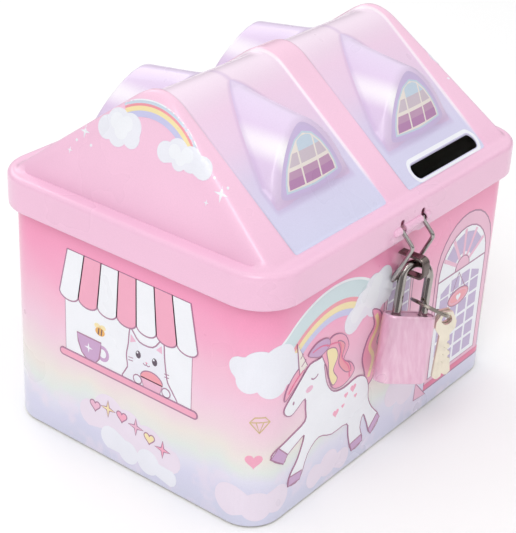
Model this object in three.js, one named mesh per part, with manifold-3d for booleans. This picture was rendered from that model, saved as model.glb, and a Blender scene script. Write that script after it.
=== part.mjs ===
// A house-shaped tin money box: a wrapped tinplate body with a clinched base, a drawn roof lid hinged
// at the back, and a wire bail, staple and small keyed padlock at the front.
// Millimetres, +Z up, front of the box towards -Y. The origin is the centre of the underside.
import * as THREE from 'three';
import { mergeVertices } from 'three/addons/utils/BufferGeometryUtils.js';
import Module from 'manifold-3d';

const wasm = await Module();
wasm.setup();

// ---------------------------------------------------------------- driving dimensions
const bodyWidth = 130;         // along X, over the walls
const bodyDepth = 100;         // along Y, over the walls
const cornerRadius = 11;       // vertical corners of the body
const sheet = 0.4;             // tinplate of body, base and lid
const gap = 0.3;               // clearance between pieces that rest on each other
const beadRadius = 0.8;        // rolled safety hems
const ledgeHeight = 84.6;      // flat rim of the lid, where the roof starts
const skirtDrop = 10.9;        // height of the lid's skirt
const lidOverhang = 2.75;      // how far the skirt stands out past the wall
const roofSlope = 38;          // degrees, front and back slopes
const gableSlope = 76;         // degrees, the two ends
const roofMargin = 4.75;       // from the skirt's face to the foot of the slopes
const panelRecess = 1.4;       // depth of the four roof panels
const slotLength = 35;         // coin slot
const slotWidth = 5.4;         // coin slot, measured down the slope
const hingeSpacing = 64;       // between the two hinges
const hingeWidth = 16;         // one hinge leaf
const pinRadius = 0.9;         // hinge pins
const bailWire = 0.65;         // radius of the bail's wire
const bailHalfSpan = 5.5;      // from the middle to each leg of the bail
const stapleWidth = 3.2;       // staple strip
const staplePlate = 0.8;       // its thickness
const stapleReach = 9.2;       // how far the staple's nose stands off the wall
const shackleWire = 1.35;      // radius of the shackle's rod
const shackleSpan = 9;         // between the centres of its legs
const lockWidth = 17;
const lockThickness = 7.5;
const lockHeight = 21;
const lockDrop = 15.6;         // from the middle of the bow down to the top of the lock
const ringRadius = 6.2;        // split ring, to the middle of its wire
const keyLength = 23;

// ---------------------------------------------------------------- derived sizes
const wallTop = ledgeHeight - sheet - gap;
const skirtBottom = ledgeHeight - skirtDrop;
const lidHalfX = bodyWidth / 2 + lidOverhang;
const lidHalfY = bodyDepth / 2 + lidOverhang;
const footX = lidHalfX - roofMargin - 1;
const footY = lidHalfY - roofMargin;
const slopeRise = Math.tan(THREE.MathUtils.degToRad(roofSlope));
const gableRise = Math.tan(THREE.MathUtils.degToRad(gableSlope));
const frontWall = -bodyDepth / 2;
const backWall = bodyDepth / 2;

const tin = { roughness: 0.35, metalness: 0.1 };
const steel = { color: 0xb8b2ac, roughness: 0.3, metalness: 0.9 };
const darkSteel = { color: 0x6d625c, roughness: 0.35, metalness: 0.9 };
const pinkCoat = { color: 0xe5a3c4, roughness: 0.35, metalness: 0.1 };
const keySteel = { color: 0xd8ceb8, roughness: 0.4, metalness: 0.8 };

const box = new THREE.Group();

function addMesh(parent, name, geometry, material) {
  const mesh = new THREE.Mesh(geometry, new THREE.MeshStandardMaterial(material));
  mesh.name = name;
  parent.add(mesh);
  return mesh;
}

// ---------------------------------------------------------------- joining and cutting

function toSolid(geometry) {
  const bare = geometry.clone();
  bare.deleteAttribute('normal');
  bare.deleteAttribute('uv');
  const merged = mergeVertices(bare, 1e-5);
  return new wasm.Manifold(new wasm.Mesh({
    numProp: 3,
    vertProperties: new Float32Array(merged.attributes.position.array),
    triVerts: new Uint32Array(merged.index.array),
  }));
}

function fromSolid(solid) {
  const mesh = solid.getMesh();
  const geometry = new THREE.BufferGeometry();
  geometry.setAttribute('position', new THREE.BufferAttribute(mesh.vertProperties, 3));
  geometry.setIndex(new THREE.BufferAttribute(mesh.triVerts, 1));
  return geometry;
}

function combine(first, added = [], removed = []) {
  let solid = toSolid(first);
  for (const geometry of added) solid = solid.add(toSolid(geometry));
  for (const geometry of removed) solid = solid.subtract(toSolid(geometry));
  return fromSolid(solid);
}

// ---------------------------------------------------------------- shared shapes

// A rounded rectangle as a closed ring of points, anticlockwise from +X.
function roundedRing(halfX, halfY, radius, z, cornerSteps = 5) {
  const ring = [];
  const corners = [[1, 1, 0], [-1, 1, 90], [-1, -1, 180], [1, -1, 270]];
  for (const [sideX, sideY, startAngle] of corners) {
    for (let step = 0; step <= cornerSteps; step += 1) {
      const angle = THREE.MathUtils.degToRad(startAngle + (90 * step) / cornerSteps);
      ring.push(new THREE.Vector3(
        sideX * (halfX - radius) + radius * Math.cos(angle),
        sideY * (halfY - radius) + radius * Math.sin(angle),
        z,
      ));
    }
  }
  return ring;
}

// Joins rings into one closed body: the last ring meets the first, or both ends are capped flat.
function loftRings(rings, capped) {
  const count = rings[0].length;
  const positions = rings.flat().flatMap((point) => [point.x, point.y, point.z]);
  const indices = [];
  const strips = capped ? rings.length - 1 : rings.length;
  for (let strip = 0; strip < strips; strip += 1) {
    const lower = strip * count;
    const upper = ((strip + 1) % rings.length) * count;
    for (let side = 0; side < count; side += 1) {
      const next = (side + 1) % count;
      indices.push(lower + side, lower + next, upper + next);
      indices.push(lower + side, upper + next, upper + side);
    }
  }
  if (capped) {
    const last = (rings.length - 1) * count;
    for (let side = 1; side < count - 1; side += 1) {
      indices.push(0, side + 1, side);
      indices.push(last, last + side, last + side + 1);
    }
  }
  const geometry = new THREE.BufferGeometry();
  geometry.setAttribute('position', new THREE.Float32BufferAttribute(positions, 3));
  geometry.setIndex(indices);
  return geometry;
}

// Sweeps a closed profile of [inset, z] points round a rounded rectangle.
function sweepRound(halfX, halfY, radius, profile) {
  const rings = profile.map(([inset, z]) => (
    roundedRing(halfX - inset, halfY - inset, radius - inset, z)
  ));
  return loftRings(rings, false);
}

// A ribbon of even thickness along a flat path of [y, z] points, as wide as given along X.
function ribbon(path, thickness, centreX, width) {
  const middle = path.map(([y, z]) => new THREE.Vector2(y, z));
  const left = [];
  const right = [];
  middle.forEach((point, index) => {
    const before = middle[Math.max(index - 1, 0)];
    const after = middle[Math.min(index + 1, middle.length - 1)];
    const into = point.clone().sub(before);
    const out = after.clone().sub(point);
    const along = into.normalize().add(out.normalize()).normalize();
    const reference = out.length() > 0 ? out : into;
    const side = new THREE.Vector2(-along.y, along.x);
    const straight = new THREE.Vector2(-reference.y, reference.x);
    const reach = thickness / 2 / Math.max(side.dot(straight), 0.5);
    left.push(point.clone().addScaledVector(side, reach));
    right.push(point.clone().addScaledVector(side, -reach));
  });
  const outline = new THREE.Shape([...right, ...left.reverse()]);
  const geometry = new THREE.ExtrudeGeometry(outline, { depth: width, bevelEnabled: false });
  const frame = new THREE.Matrix4().makeBasis(
    new THREE.Vector3(0, 1, 0),
    new THREE.Vector3(0, 0, 1),
    new THREE.Vector3(1, 0, 0),
  );
  geometry.applyMatrix4(frame);
  geometry.translate(centreX - width / 2, 0, 0);
  return geometry;
}

// Points of an arc in [y, z], from one angle to another in degrees.
function arc(centreY, centreZ, radius, from, to, steps) {
  const points = [];
  for (let step = 0; step <= steps; step += 1) {
    const angle = THREE.MathUtils.degToRad(from + ((to - from) * step) / steps);
    points.push([centreY + radius * Math.cos(angle), centreZ + radius * Math.sin(angle)]);
  }
  return points;
}

// A round wire along corner points, each corner bent to the given radius.
function wire(corners, bend, radius, sides = 8, bendSteps = 4) {
  const curve = new THREE.CurvePath();
  let start = corners[0];
  for (let index = 1; index < corners.length - 1; index += 1) {
    const corner = corners[index];
    const before = start.clone().sub(corner);
    const after = corners[index + 1].clone().sub(corner);
    const reach = Math.min(bend, before.length() * 0.45, after.length() * 0.45);
    const into = corner.clone().addScaledVector(before.normalize(), reach);
    const out = corner.clone().addScaledVector(after.normalize(), reach);
    curve.add(new THREE.LineCurve3(start, into));
    curve.add(new THREE.QuadraticBezierCurve3(into, corner, out));
    start = out;
  }
  curve.add(new THREE.LineCurve3(start, corners[corners.length - 1]));
  const points = [];
  for (const piece of curve.curves) {
    const steps = piece.isLineCurve3 ? 1 : bendSteps;
    for (let step = 0; step < steps; step += 1) points.push(piece.getPoint(step / steps));
  }
  points.push(corners[corners.length - 1]);
  return tube(points, radius, sides, false);
}

// A tube through the given points, closed into a loop or capped at both ends.
function tube(points, radius, sides, looped) {
  const count = points.length;
  let side = new THREE.Vector3(0.31, 0.17, 0.93);
  const rings = points.map((point, index) => {
    const before = looped ? points[(index + count - 1) % count] : points[Math.max(index - 1, 0)];
    const after = looped ? points[(index + 1) % count] : points[Math.min(index + 1, count - 1)];
    const along = after.clone().sub(before).normalize();
    side = side.clone().addScaledVector(along, -side.dot(along)).normalize();
    const up = along.clone().cross(side);
    const ring = [];
    for (let step = 0; step < sides; step += 1) {
      const angle = (2 * Math.PI * step) / sides;
      ring.push(point.clone()
        .addScaledVector(side, radius * Math.cos(angle))
        .addScaledVector(up, radius * Math.sin(angle)));
    }
    return ring;
  });
  return loftRings(rings, !looped);
}

function cylinder(radius, height, x, y, z, sides = 20) {
  const geometry = new THREE.CylinderGeometry(radius, radius, height, sides);
  geometry.rotateX(Math.PI / 2);
  geometry.translate(x, y, z);
  return geometry;
}

function block(width, depth, height, x, y, z) {
  const geometry = new THREE.BoxGeometry(width, depth, height);
  geometry.translate(x, y, z);
  return geometry;
}

// ---------------------------------------------------------------- body and base

// One strip of tinplate wrapped round, lock-seamed at the back, rolled inwards along the top and
// folded in at the bottom to carry the base.
const foldWidth = 5;
const stapleTopZ = 67.9;
const stapleBottomZ = 61.7;

function makeBody() {
  const bottomBend = 1.2;
  const profile = [
    [bottomBend, 0], [0.35, 0.35], [0, bottomBend],
    [0, wallTop - beadRadius], [0.23, wallTop - 0.23], [beadRadius, wallTop],
    [2 * beadRadius - 0.23, wallTop - 0.23], [2 * beadRadius, wallTop - beadRadius],
    [beadRadius + 0.2, wallTop - 2 * beadRadius], [sheet, wallTop - 2 * beadRadius - 0.4],
    [sheet, bottomBend], [0.6, 0.6], [bottomBend, sheet],
    [foldWidth, sheet], [foldWidth, 0],
  ];
  const shell = sweepRound(bodyWidth / 2, bodyDepth / 2, cornerRadius, profile);
  const seamHeight = wallTop - 6;
  const seam = block(3.2, sheet + 0.5, seamHeight, 0, backWall - 0.2, seamHeight / 2 + 2);
  const slotX = stapleWidth + 2 * gap;
  const slotZ = staplePlate + 2 * gap;
  const slots = [stapleTopZ, stapleBottomZ].map((z) => (
    block(slotX, 4, slotZ, 0, frontWall, z)
  ));
  return combine(shell, [seam], slots);
}

// A drawn base that drops into the fold, with its rim turned up and its middle level with the fold.
function makeBase() {
  const rimInset = sheet + gap;
  const seat = sheet + gap;
  const rimHeight = 4;
  const stepInset = foldWidth + gap + 0.4;
  const halfX = bodyWidth / 2 - rimInset;
  const halfY = bodyDepth / 2 - rimInset;
  const radius = cornerRadius - rimInset;
  const at = (inset, z) => roundedRing(halfX - inset, halfY - inset, radius - inset, z);
  const rings = [
    at(stepInset + 0.6, 0), at(stepInset, 0.2), at(stepInset - 0.6, seat),
    at(1.2, seat), at(0.25, seat + 0.45), at(0, seat + 1.2), at(0, rimHeight),
    at(sheet, rimHeight), at(sheet, seat + 1.2), at(1.2, seat + sheet),
    at(stepInset - 0.3, seat + sheet), at(stepInset + 0.9, sheet),
  ];
  return loftRings(rings, true);
}

// ---------------------------------------------------------------- lid

const panelInnerX = 5.6;        // half of the middle rib
const panelOuterX = 49.6;
const panelFootY = footY - 0.9;
const dormerX = 27;
const dormerHalfWidth = 16;
const dormerFootY = -35.6;
const dormerTipY = -4.5;
const dormerApexY = -28.2;
const dormerApexZ = 112.2;
const dormerTipZ = 115.6;
const slotX = 30.5;
const slotY = -43.6;

// The smaller of two heights, rounded off where they meet.
function softMin(a, b, blend) {
  const share = Math.max(blend - Math.abs(a - b), 0) / blend;
  return Math.min(a, b) - (share * share * blend) / 4;
}

function smoothStep(from, to, value) {
  return THREE.MathUtils.smoothstep(value, from, to);
}

// Height of one hood over the slope: a half cone that widens from its tip down to an upright face.
function dormerHeight(x, y, base, thickness) {
  const reach = (dormerTipY - y) / (dormerTipY - dormerApexY);
  if (reach <= 0) return base;
  const across = Math.abs(Math.abs(x) - dormerX) / (dormerHalfWidth * Math.min(reach, 1.12) ** 0.75);
  if (across >= 1) return base;
  const ridge = THREE.MathUtils.lerp(dormerTipZ, dormerApexZ, Math.min(reach, 1)) - thickness / 0.8;
  const hood = base + (ridge - base) * (1 - across ** 1.9);
  const faceRise = (dormerApexZ - 94) / (dormerApexY - dormerFootY);
  const face = 94 + (y - dormerFootY) * faceRise - thickness * Math.hypot(1, faceRise);
  return Math.max(base, softMin(hood, face, 2.5));
}

// Height of the roof's outer face, or of the face that lies one thickness below it.
function roofHeight(x, y, thickness) {
  const alongSlope = Math.hypot(1, slopeRise) * thickness;
  const alongGable = Math.hypot(1, gableRise) * thickness;
  const slope = ledgeHeight + (footY - Math.abs(y)) * slopeRise - alongSlope;
  const otherSlope = ledgeHeight + (footY + Math.abs(y)) * slopeRise - alongSlope;
  const gable = ledgeHeight + (footX - Math.abs(x)) * gableRise - alongGable;
  const ribbed = softMin(softMin(slope, otherSlope, 12), gable, 14);
  const edge = 0.9;
  const inX = smoothStep(panelInnerX - edge, panelInnerX + edge, Math.abs(x))
    * (1 - smoothStep(panelOuterX - edge, panelOuterX + edge, Math.abs(x)));
  const inY = 1 - smoothStep(panelFootY - edge, panelFootY + edge, Math.abs(y));
  const panel = ribbed - panelRecess * inX * inY;
  return dormerHeight(x, -Math.abs(y), panel, thickness);
}

function mirrored(values) {
  return [...values.map((value) => -value).reverse(), ...values.filter((value) => value > 0)];
}

// The roof as a solid: a height field over a plan grid, closed by sides and a flat floor.
function roofSolid(thickness, floor) {
  const linesX = mirrored([0, 4.7, 6.5, 11, 14, 18, 22.5, 27, 31.5, 36, 40, 43.2, 48.7, 50.5,
    53, 55.5, 58, 60, footX]);
  const linesY = mirrored([0, 2, 4.5, 8, 12, 16.5, 21, 25, 28.2, 30.2, 32.2, 34.2, 35.8, 38,
    42.5, panelFootY - 0.9, panelFootY + 0.9, footY]);
  const columns = linesX.length;
  const positions = [];
  for (const y of linesY) {
    for (const x of linesX) positions.push(x, y, Math.max(roofHeight(x, y, thickness), floor + 0.1));
  }
  for (const y of linesY) {
    for (const x of linesX) positions.push(x, y, floor);
  }
  const indices = [];
  const layer = columns * linesY.length;
  const quad = (a, b, c, d) => indices.push(a, b, c, a, c, d);
  for (let row = 0; row < linesY.length - 1; row += 1) {
    for (let column = 0; column < columns - 1; column += 1) {
      const a = row * columns + column;
      quad(a, a + 1, a + columns + 1, a + columns);
      quad(layer + a, layer + a + columns, layer + a + columns + 1, layer + a + 1);
    }
  }
  for (let column = 0; column < columns - 1; column += 1) {
    const back = (linesY.length - 1) * columns + column;
    quad(layer + column, layer + column + 1, column + 1, column);
    quad(layer + back + 1, layer + back, back, back + 1);
  }
  for (let row = 0; row < linesY.length - 1; row += 1) {
    const left = row * columns;
    const right = left + columns - 1;
    quad(layer + left + columns, layer + left, left, left + columns);
    quad(layer + right, layer + right + columns, right + columns, right);
  }
  const geometry = new THREE.BufferGeometry();
  geometry.setAttribute('position', new THREE.Float32BufferAttribute(positions, 3));
  geometry.setIndex(indices);
  return geometry;
}

// Skirt, rounded rim and roof as one filled body, drawn in by the given thickness.
function lidBlank(thickness) {
  const halfX = lidHalfX - thickness;
  const halfY = lidHalfY - thickness;
  const radius = cornerRadius + lidOverhang - thickness;
  const rimRound = 1.6 - thickness;
  const bottom = thickness > 0 ? skirtBottom - 1 : skirtBottom;
  const top = ledgeHeight - thickness;
  const at = (inset, z) => roundedRing(halfX - inset, halfY - inset, radius - inset, z);
  const skirt = loftRings([
    at(0, bottom), at(0, top - rimRound),
    at(rimRound * 0.3, top - rimRound * 0.3), at(rimRound, top),
  ], true);
  return combine(skirt, [roofSolid(thickness, top - 0.8)]);
}

// Hinge axis, behind the back wall and just under the lid's skirt.
const knuckleBore = pinRadius + gap;
const knuckleMiddle = knuckleBore + sheet / 2;
const hingeY = backWall + gap + sheet / 2 + knuckleMiddle;
const hingeZ = skirtBottom - 2.3;
const hingePlaces = [['left', -hingeSpacing / 2], ['right', hingeSpacing / 2]];
const tabWidth = hingeWidth / 2;

// Bail pivot: its turned-out ends lie in a half-round channel pressed forward from the skirt.
const bailZ = 77.7;
const bailY = -lidHalfY + sheet / 2;
const bailEnd = bailHalfSpan + 3;
const skirtFace = -lidHalfY;

function channelPiece(radius, length) {
  const piece = new THREE.CylinderGeometry(radius, radius, length, 16);
  piece.rotateZ(Math.PI / 2);
  piece.translate(0, bailY, bailZ);
  return piece;
}

function makeLid() {
  const hem = sweepRound(lidHalfX, lidHalfY, cornerRadius + lidOverhang, [
    [0, skirtBottom], [0, skirtBottom + 1.4], [sheet, skirtBottom + 1.6],
    [2 * beadRadius, skirtBottom + 0.9], [2 * beadRadius, skirtBottom + 0.3],
    [beadRadius, skirtBottom],
  ]);
  const skirtMiddle = lidHalfY - sheet / 2;
  const tabOuter = hingeY + knuckleMiddle;
  const tabs = hingePlaces.map(([, x]) => ribbon([
    [skirtMiddle, skirtBottom + 2], [skirtMiddle, skirtBottom + 0.6],
    [tabOuter, hingeZ + 1.2], ...arc(hingeY, hingeZ, knuckleMiddle, 0, -290, 10),
  ], sheet, x, tabWidth));
  const channelBore = bailWire + gap;
  const channel = channelPiece(channelBore + sheet, 2 * bailEnd + 2 * gap + 2 * sheet);
  const channelHollow = channelPiece(channelBore, 2 * bailEnd + 2 * gap);
  const openBack = block(2 * bailEnd + 2, 2, 2 * (channelBore + sheet) + 0.4, 0, bailY + sheet / 2 + 1, bailZ);
  const holes = [-1, 1].map((side) => (
    block(2 * channelBore, 3, 2.9, side * bailHalfSpan, bailY - 1.5, bailZ - 0.1)
  ));
  const slotEnd = (slotWidth * Math.cos(THREE.MathUtils.degToRad(roofSlope))) / 2;
  const slotStraight = slotLength / 2 - slotEnd;
  const slot = loftRings([ledgeHeight - 3, ledgeHeight + 12].map((z) => (
    roundedRing(slotStraight + slotEnd, slotEnd, slotEnd - 0.01, z, 4)
  )), true);
  slot.translate(slotX, slotY, 0);
  const scallop = cylinder(9, 8, 0, 0, 0, 28);
  scallop.rotateX(Math.PI / 2);
  scallop.translate(0, skirtFace, skirtBottom - 7.6);
  const shell = combine(lidBlank(0), [channel], [lidBlank(sheet), openBack, channelHollow]);
  return combine(shell, [hem, ...tabs], [...holes, slot, scallop]);
}

// ---------------------------------------------------------------- hinges

function makeHingeLeaf(x) {
  const plateY = backWall + gap + sheet / 2;
  const plateBottom = hingeZ - 11;
  const knuckleWidth = (hingeWidth - tabWidth) / 2 - gap;
  const curled = [[plateY, plateBottom], [plateY, hingeZ - 0.6],
    ...arc(hingeY, hingeZ, knuckleMiddle, 180, -110, 10)];
  const flat = [[plateY, plateBottom], [plateY, hingeZ - 2.4]];
  const sideX = (hingeWidth - knuckleWidth) / 2;
  return combine(ribbon(flat, sheet, x, hingeWidth), [
    ribbon(curled, sheet, x - sideX, knuckleWidth),
    ribbon(curled, sheet, x + sideX, knuckleWidth),
  ]);
}

// A cut wire whose ends are swaged so that it can't slide out of the knuckles.
function makeHingePin(x) {
  const headRadius = pinRadius + 0.5;
  const reach = hingeWidth / 2 + 0.4;
  const points = [
    [0, -reach - 0.9], [headRadius - 0.3, -reach - 0.9], [headRadius, -reach - 0.6],
    [headRadius, -reach], [pinRadius, -reach], [pinRadius, reach],
    [headRadius, reach], [headRadius, reach + 0.6], [headRadius - 0.3, reach + 0.9], [0, reach + 0.9],
  ].map(([radius, along]) => new THREE.Vector2(radius, along));
  const pin = new THREE.LatheGeometry(points, 12);
  pin.rotateZ(-Math.PI / 2);
  pin.translate(x, hingeY, hingeZ);
  return pin;
}

// ---------------------------------------------------------------- latch

// Spring wire: its ends turned out into the skirt's channel, its legs kneed away from the wall and
// back in to a cross bar under the staple.
function makeBail() {
  const barY = frontWall - gap - bailWire - 0.1;
  const barZ = stapleBottomZ - staplePlate / 2 - bailWire - 0.5;
  const kneeY = skirtFace - 4.6;
  const leg = (side) => [
    new THREE.Vector3(side * bailEnd, bailY, bailZ),
    new THREE.Vector3(side * bailHalfSpan, bailY, bailZ),
    new THREE.Vector3(side * bailHalfSpan, kneeY, bailZ - 4.4),
    new THREE.Vector3(side * bailHalfSpan, barY, barZ),
  ];
  return wire([...leg(-1), ...leg(1).reverse()], 1, bailWire);
}

// A bent strip: both ends pass through the front wall and are clinched flat inside it.
function makeStaple() {
  const noseY = frontWall - stapleReach + staplePlate / 2;
  const bend = 1.7;
  const insideY = frontWall + sheet + gap + staplePlate / 2;
  const path = [
    [insideY, stapleTopZ + 5], [insideY, stapleTopZ + 1], [insideY - 0.6, stapleTopZ],
    ...arc(noseY + bend, stapleTopZ - bend, bend, 90, 180, 4),
    ...arc(noseY + bend, stapleBottomZ + bend, bend, 180, 270, 4),
    [insideY - 0.6, stapleBottomZ], [insideY, stapleBottomZ - 1], [insideY, stapleBottomZ - 5],
  ];
  return ribbon(path, staplePlate, 0, stapleWidth);
}

// ---------------------------------------------------------------- padlock

// The padlock hangs from the staple by its bow. Its own frame starts at the middle of the bow, with
// X across the two legs, Y through the lock from face to back, and Z up along the legs.
const bowX = 1.6;
const bowY = frontWall - 5.1;
const bowZ = 65;
const padlock = new THREE.Group();
padlock.position.set(bowX, bowY, bowZ);
padlock.rotation.set(
  THREE.MathUtils.degToRad(-13.2),
  THREE.MathUtils.degToRad(11),
  THREE.MathUtils.degToRad(-32),
  'ZYX',
);
const lockTop = -lockDrop;
const lockBottom = -lockDrop - lockHeight;
const bowRadius = shackleSpan / 2;
const caseWall = 0.7;
const longLeg = 13;
const shortLeg = 5.2;
const clipHeight = 0.5;
const grooveDepth = 0.4;
const clipZ = lockTop - longLeg + 1;

// Hardened rod bent to a U: the long leg stays in the lock, the short one comes free.
function makeShackle() {
  const points = [new THREE.Vector3(-bowRadius, 0, lockTop - longLeg)];
  const bowSteps = 10;
  for (let step = 0; step <= bowSteps; step += 1) {
    const angle = Math.PI * (1 - step / bowSteps);
    points.push(new THREE.Vector3(
      bowRadius * Math.cos(angle),
      0,
      -bowRadius + bowRadius * Math.sin(angle),
    ));
  }
  points.push(new THREE.Vector3(bowRadius, 0, lockTop - shortLeg));
  const rod = tube(points, shackleWire, 12, false);
  const notch = block(1.1, 4, 1.6, bowRadius - shackleWire, 0, lockTop - shortLeg + 2.4);
  const collar = cylinder(shackleWire + 1, clipHeight + gap, -bowRadius, 0, clipZ);
  const core = cylinder(shackleWire - grooveDepth, clipHeight + 2, -bowRadius, 0, clipZ);
  return combine(rod, [], [notch, combine(collar, [], [core])]);
}

// An open ring in the groove of the long leg, which keeps that leg in the lock.
function makeShackleClip() {
  const outer = cylinder(shackleWire + 0.75, clipHeight, -bowRadius, 0, clipZ);
  const inner = cylinder(shackleWire - grooveDepth + gap / 2, clipHeight + 2, -bowRadius, 0, clipZ);
  const mouth = block(2, 4, clipHeight + 2, -bowRadius - 1.9, 0, clipZ);
  return combine(outer, [], [inner, mouth]);
}

function lockRing(inset, z) {
  const halfY = lockThickness / 2 - inset;
  return roundedRing(lockWidth / 2 - inset, halfY, halfY - 0.01, z, 6);
}

const plugRadius = 2.2;
const plugFloor = lockBottom + caseWall + gap;   // underside of the plug's flange
const flangeHeight = 0.8;
const retainerZ = plugFloor + flangeHeight + gap; // underside of the plate over the flange
const retainerHeight = 0.8;
const plugTop = retainerZ + retainerHeight + 1.4;

// A drawn cup, open at the top, with the keyway's round hole in its floor.
function makeLockCase() {
  const cup = loftRings([
    lockRing(0.9, lockBottom), lockRing(0.25, lockBottom + 0.25), lockRing(0, lockBottom + 0.9),
    lockRing(0, lockTop - 0.5), lockRing(0.15, lockTop - 0.15), lockRing(0.5, lockTop),
    lockRing(caseWall, lockTop), lockRing(caseWall, lockBottom + caseWall),
  ], true);
  return combine(cup, [], [cylinder(plugRadius + gap, 4, 0, 0, lockBottom)]);
}

// The lid of the lock, pressed into the mouth of the case, with a hole for each leg.
function makeLockTop() {
  const plateTop = lockTop - 0.4;
  const plate = loftRings([
    lockRing(caseWall + gap, plateTop - 1), lockRing(caseWall + gap, plateTop),
  ], true);
  const holes = [-1, 1].map((side) => (
    cylinder(shackleWire + gap, 4, side * bowRadius, 0, plateTop)
  ));
  return combine(plate, [], holes);
}

// The round key guide in the floor of the case, flanged inside and slotted for the key.
function makeKeyPlug() {
  const height = plugTop - lockBottom - 0.1;
  const plug = cylinder(plugRadius, height, 0, 0, lockBottom + 0.1 + height / 2);
  const flangeRadius = lockThickness / 2 - caseWall - gap / 2;
  const flange = cylinder(flangeRadius, flangeHeight, 0, 0, plugFloor + flangeHeight / 2);
  const keyway = block(3.3, 1.1, height - 1, 0, 0, lockBottom + (height - 1) / 2);
  return combine(plug, [flange], [keyway]);
}

// A plate pressed into the case over the plug's flange. The springs stand on it.
function makePlugRetainer() {
  const plate = loftRings([
    lockRing(caseWall + gap, retainerZ), lockRing(caseWall + gap, retainerZ + retainerHeight),
  ], true);
  return combine(plate, [], [cylinder(plugRadius + gap, 4, 0, 0, retainerZ)]);
}

// A bent strip of spring steel that snaps into the notch in the short leg. The key spreads it.
function makeLatchSpring() {
  const thickness = 0.5;
  const topZ = lockTop - shortLeg + 2.4;
  const legX = bowRadius - shackleWire;
  const innerX = legX - 0.9;
  const footZ = retainerZ + retainerHeight + gap + thickness / 2;
  const outline = [
    [legX + 2.2, footZ], [innerX + 0.8, footZ], [innerX + 0.5, footZ + 2],
    [innerX - 0.2, footZ + 5], [innerX - 0.2, topZ - 0.35], [innerX + 0.9, topZ],
  ];
  const strip = ribbon(outline, thickness, 0, 3.6);
  strip.rotateZ(-Math.PI / 2);
  return strip;
}

// Compression spring under the long leg.
function makeShackleSpring() {
  const turns = 5;
  const perTurn = 10;
  const wireRadius = 0.22;
  const coilRadius = 0.9;
  const bottom = retainerZ + retainerHeight + gap + wireRadius;
  const height = lockTop - longLeg - gap - wireRadius - bottom;
  const points = [];
  for (let step = 0; step <= turns * perTurn; step += 1) {
    const angle = (2 * Math.PI * step) / perTurn;
    points.push(new THREE.Vector3(
      -bowRadius + coilRadius * Math.cos(angle),
      coilRadius * Math.sin(angle),
      bottom + (height * step) / (turns * perTurn),
    ));
  }
  return tube(points, wireRadius, 6, false);
}

// ---------------------------------------------------------------- key ring and keys

const ringWire = 0.5;
const ringTilt = THREE.MathUtils.degToRad(20);
const ringCentre = new THREE.Vector3(bowRadius + 2.1, 0, lockTop + 2.1);

function makeKeyRing() {
  const points = [];
  const steps = 28;
  for (let step = 0; step < steps; step += 1) {
    const angle = (2 * Math.PI * step) / steps;
    points.push(new THREE.Vector3(
      ringRadius * Math.cos(angle),
      ringRadius * Math.sin(angle),
      0,
    ));
  }
  const ring = tube(points, ringWire, 8, true);
  ring.rotateY(ringTilt);
  ring.translate(ringCentre.x, ringCentre.y, ringCentre.z);
  return ring;
}

// A stamped flat key hanging from its eye, which is at its own origin.
function makeKey() {
  const bow = 3.4;
  const eye = 1.8;
  const bladeHalf = 1.5;
  const thickness = 0.9;
  const neckZ = -2 * bow + 1.2;
  const tipZ = -keyLength + bow - 1.4;
  const outline = new THREE.Shape();
  outline.moveTo(-bladeHalf, neckZ);
  outline.lineTo(-bow, -3);
  outline.lineTo(-bow, -0.6);
  outline.lineTo(-1.6, eye + 0.9);
  outline.lineTo(1.6, eye + 0.9);
  outline.lineTo(bow, -0.6);
  outline.lineTo(bow, -3);
  outline.lineTo(bladeHalf, neckZ);
  const biteCount = 3;
  const biteTop = neckZ - 3;
  const bitePitch = 2.6;
  for (let bite = 0; bite < biteCount; bite += 1) {
    const z = biteTop - bite * bitePitch;
    outline.lineTo(bladeHalf, z);
    outline.lineTo(bladeHalf - 0.8, z - 0.5);
    outline.lineTo(bladeHalf - 0.8, z - 1.1);
    outline.lineTo(bladeHalf, z - 1.6);
  }
  outline.lineTo(bladeHalf, tipZ + 1);
  outline.lineTo(0.4, tipZ);
  outline.lineTo(-0.4, tipZ);
  outline.lineTo(-bladeHalf, tipZ + 1);
  outline.closePath();
  const holeSides = 12;
  const holePoints = Array.from({ length: holeSides }, (_, side) => {
    const angle = (2 * Math.PI * side) / holeSides;
    return new THREE.Vector2(eye * Math.cos(angle), eye * Math.sin(angle));
  });
  outline.holes.push(new THREE.Path(holePoints));
  const key = new THREE.ExtrudeGeometry(outline, { depth: thickness, bevelEnabled: false });
  key.translate(0, 0, -thickness / 2);
  key.rotateX(Math.PI / 2);
  return key;
}

// ---------------------------------------------------------------- assembly

addMesh(box, 'body_wall', makeBody(), { color: 0xf3c6dc, ...tin });
addMesh(box, 'base_plate', makeBase(), { color: 0xd9d6dc, ...tin });
addMesh(box, 'lid_shell', makeLid(), { color: 0xf2b6d2, ...tin });
for (const [side, x] of hingePlaces) {
  addMesh(box, `hinge_leaf_${side}`, makeHingeLeaf(x), steel);
  addMesh(box, `hinge_pin_${side}`, makeHingePin(x), steel);
}
addMesh(box, 'latch_bail', makeBail(), steel);
addMesh(box, 'hasp_staple', makeStaple(), darkSteel);

addMesh(padlock, 'lock_shackle', makeShackle(), steel);
addMesh(padlock, 'shackle_clip', makeShackleClip(), steel);
addMesh(padlock, 'lock_case', makeLockCase(), pinkCoat);
addMesh(padlock, 'lock_top_plate', makeLockTop(), pinkCoat);
addMesh(padlock, 'key_plug', makeKeyPlug(), steel);
addMesh(padlock, 'plug_retainer', makePlugRetainer(), steel);
addMesh(padlock, 'latch_spring', makeLatchSpring(), steel);
addMesh(padlock, 'shackle_spring', makeShackleSpring(), steel);
addMesh(padlock, 'key_ring', makeKeyRing(), steel);

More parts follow.
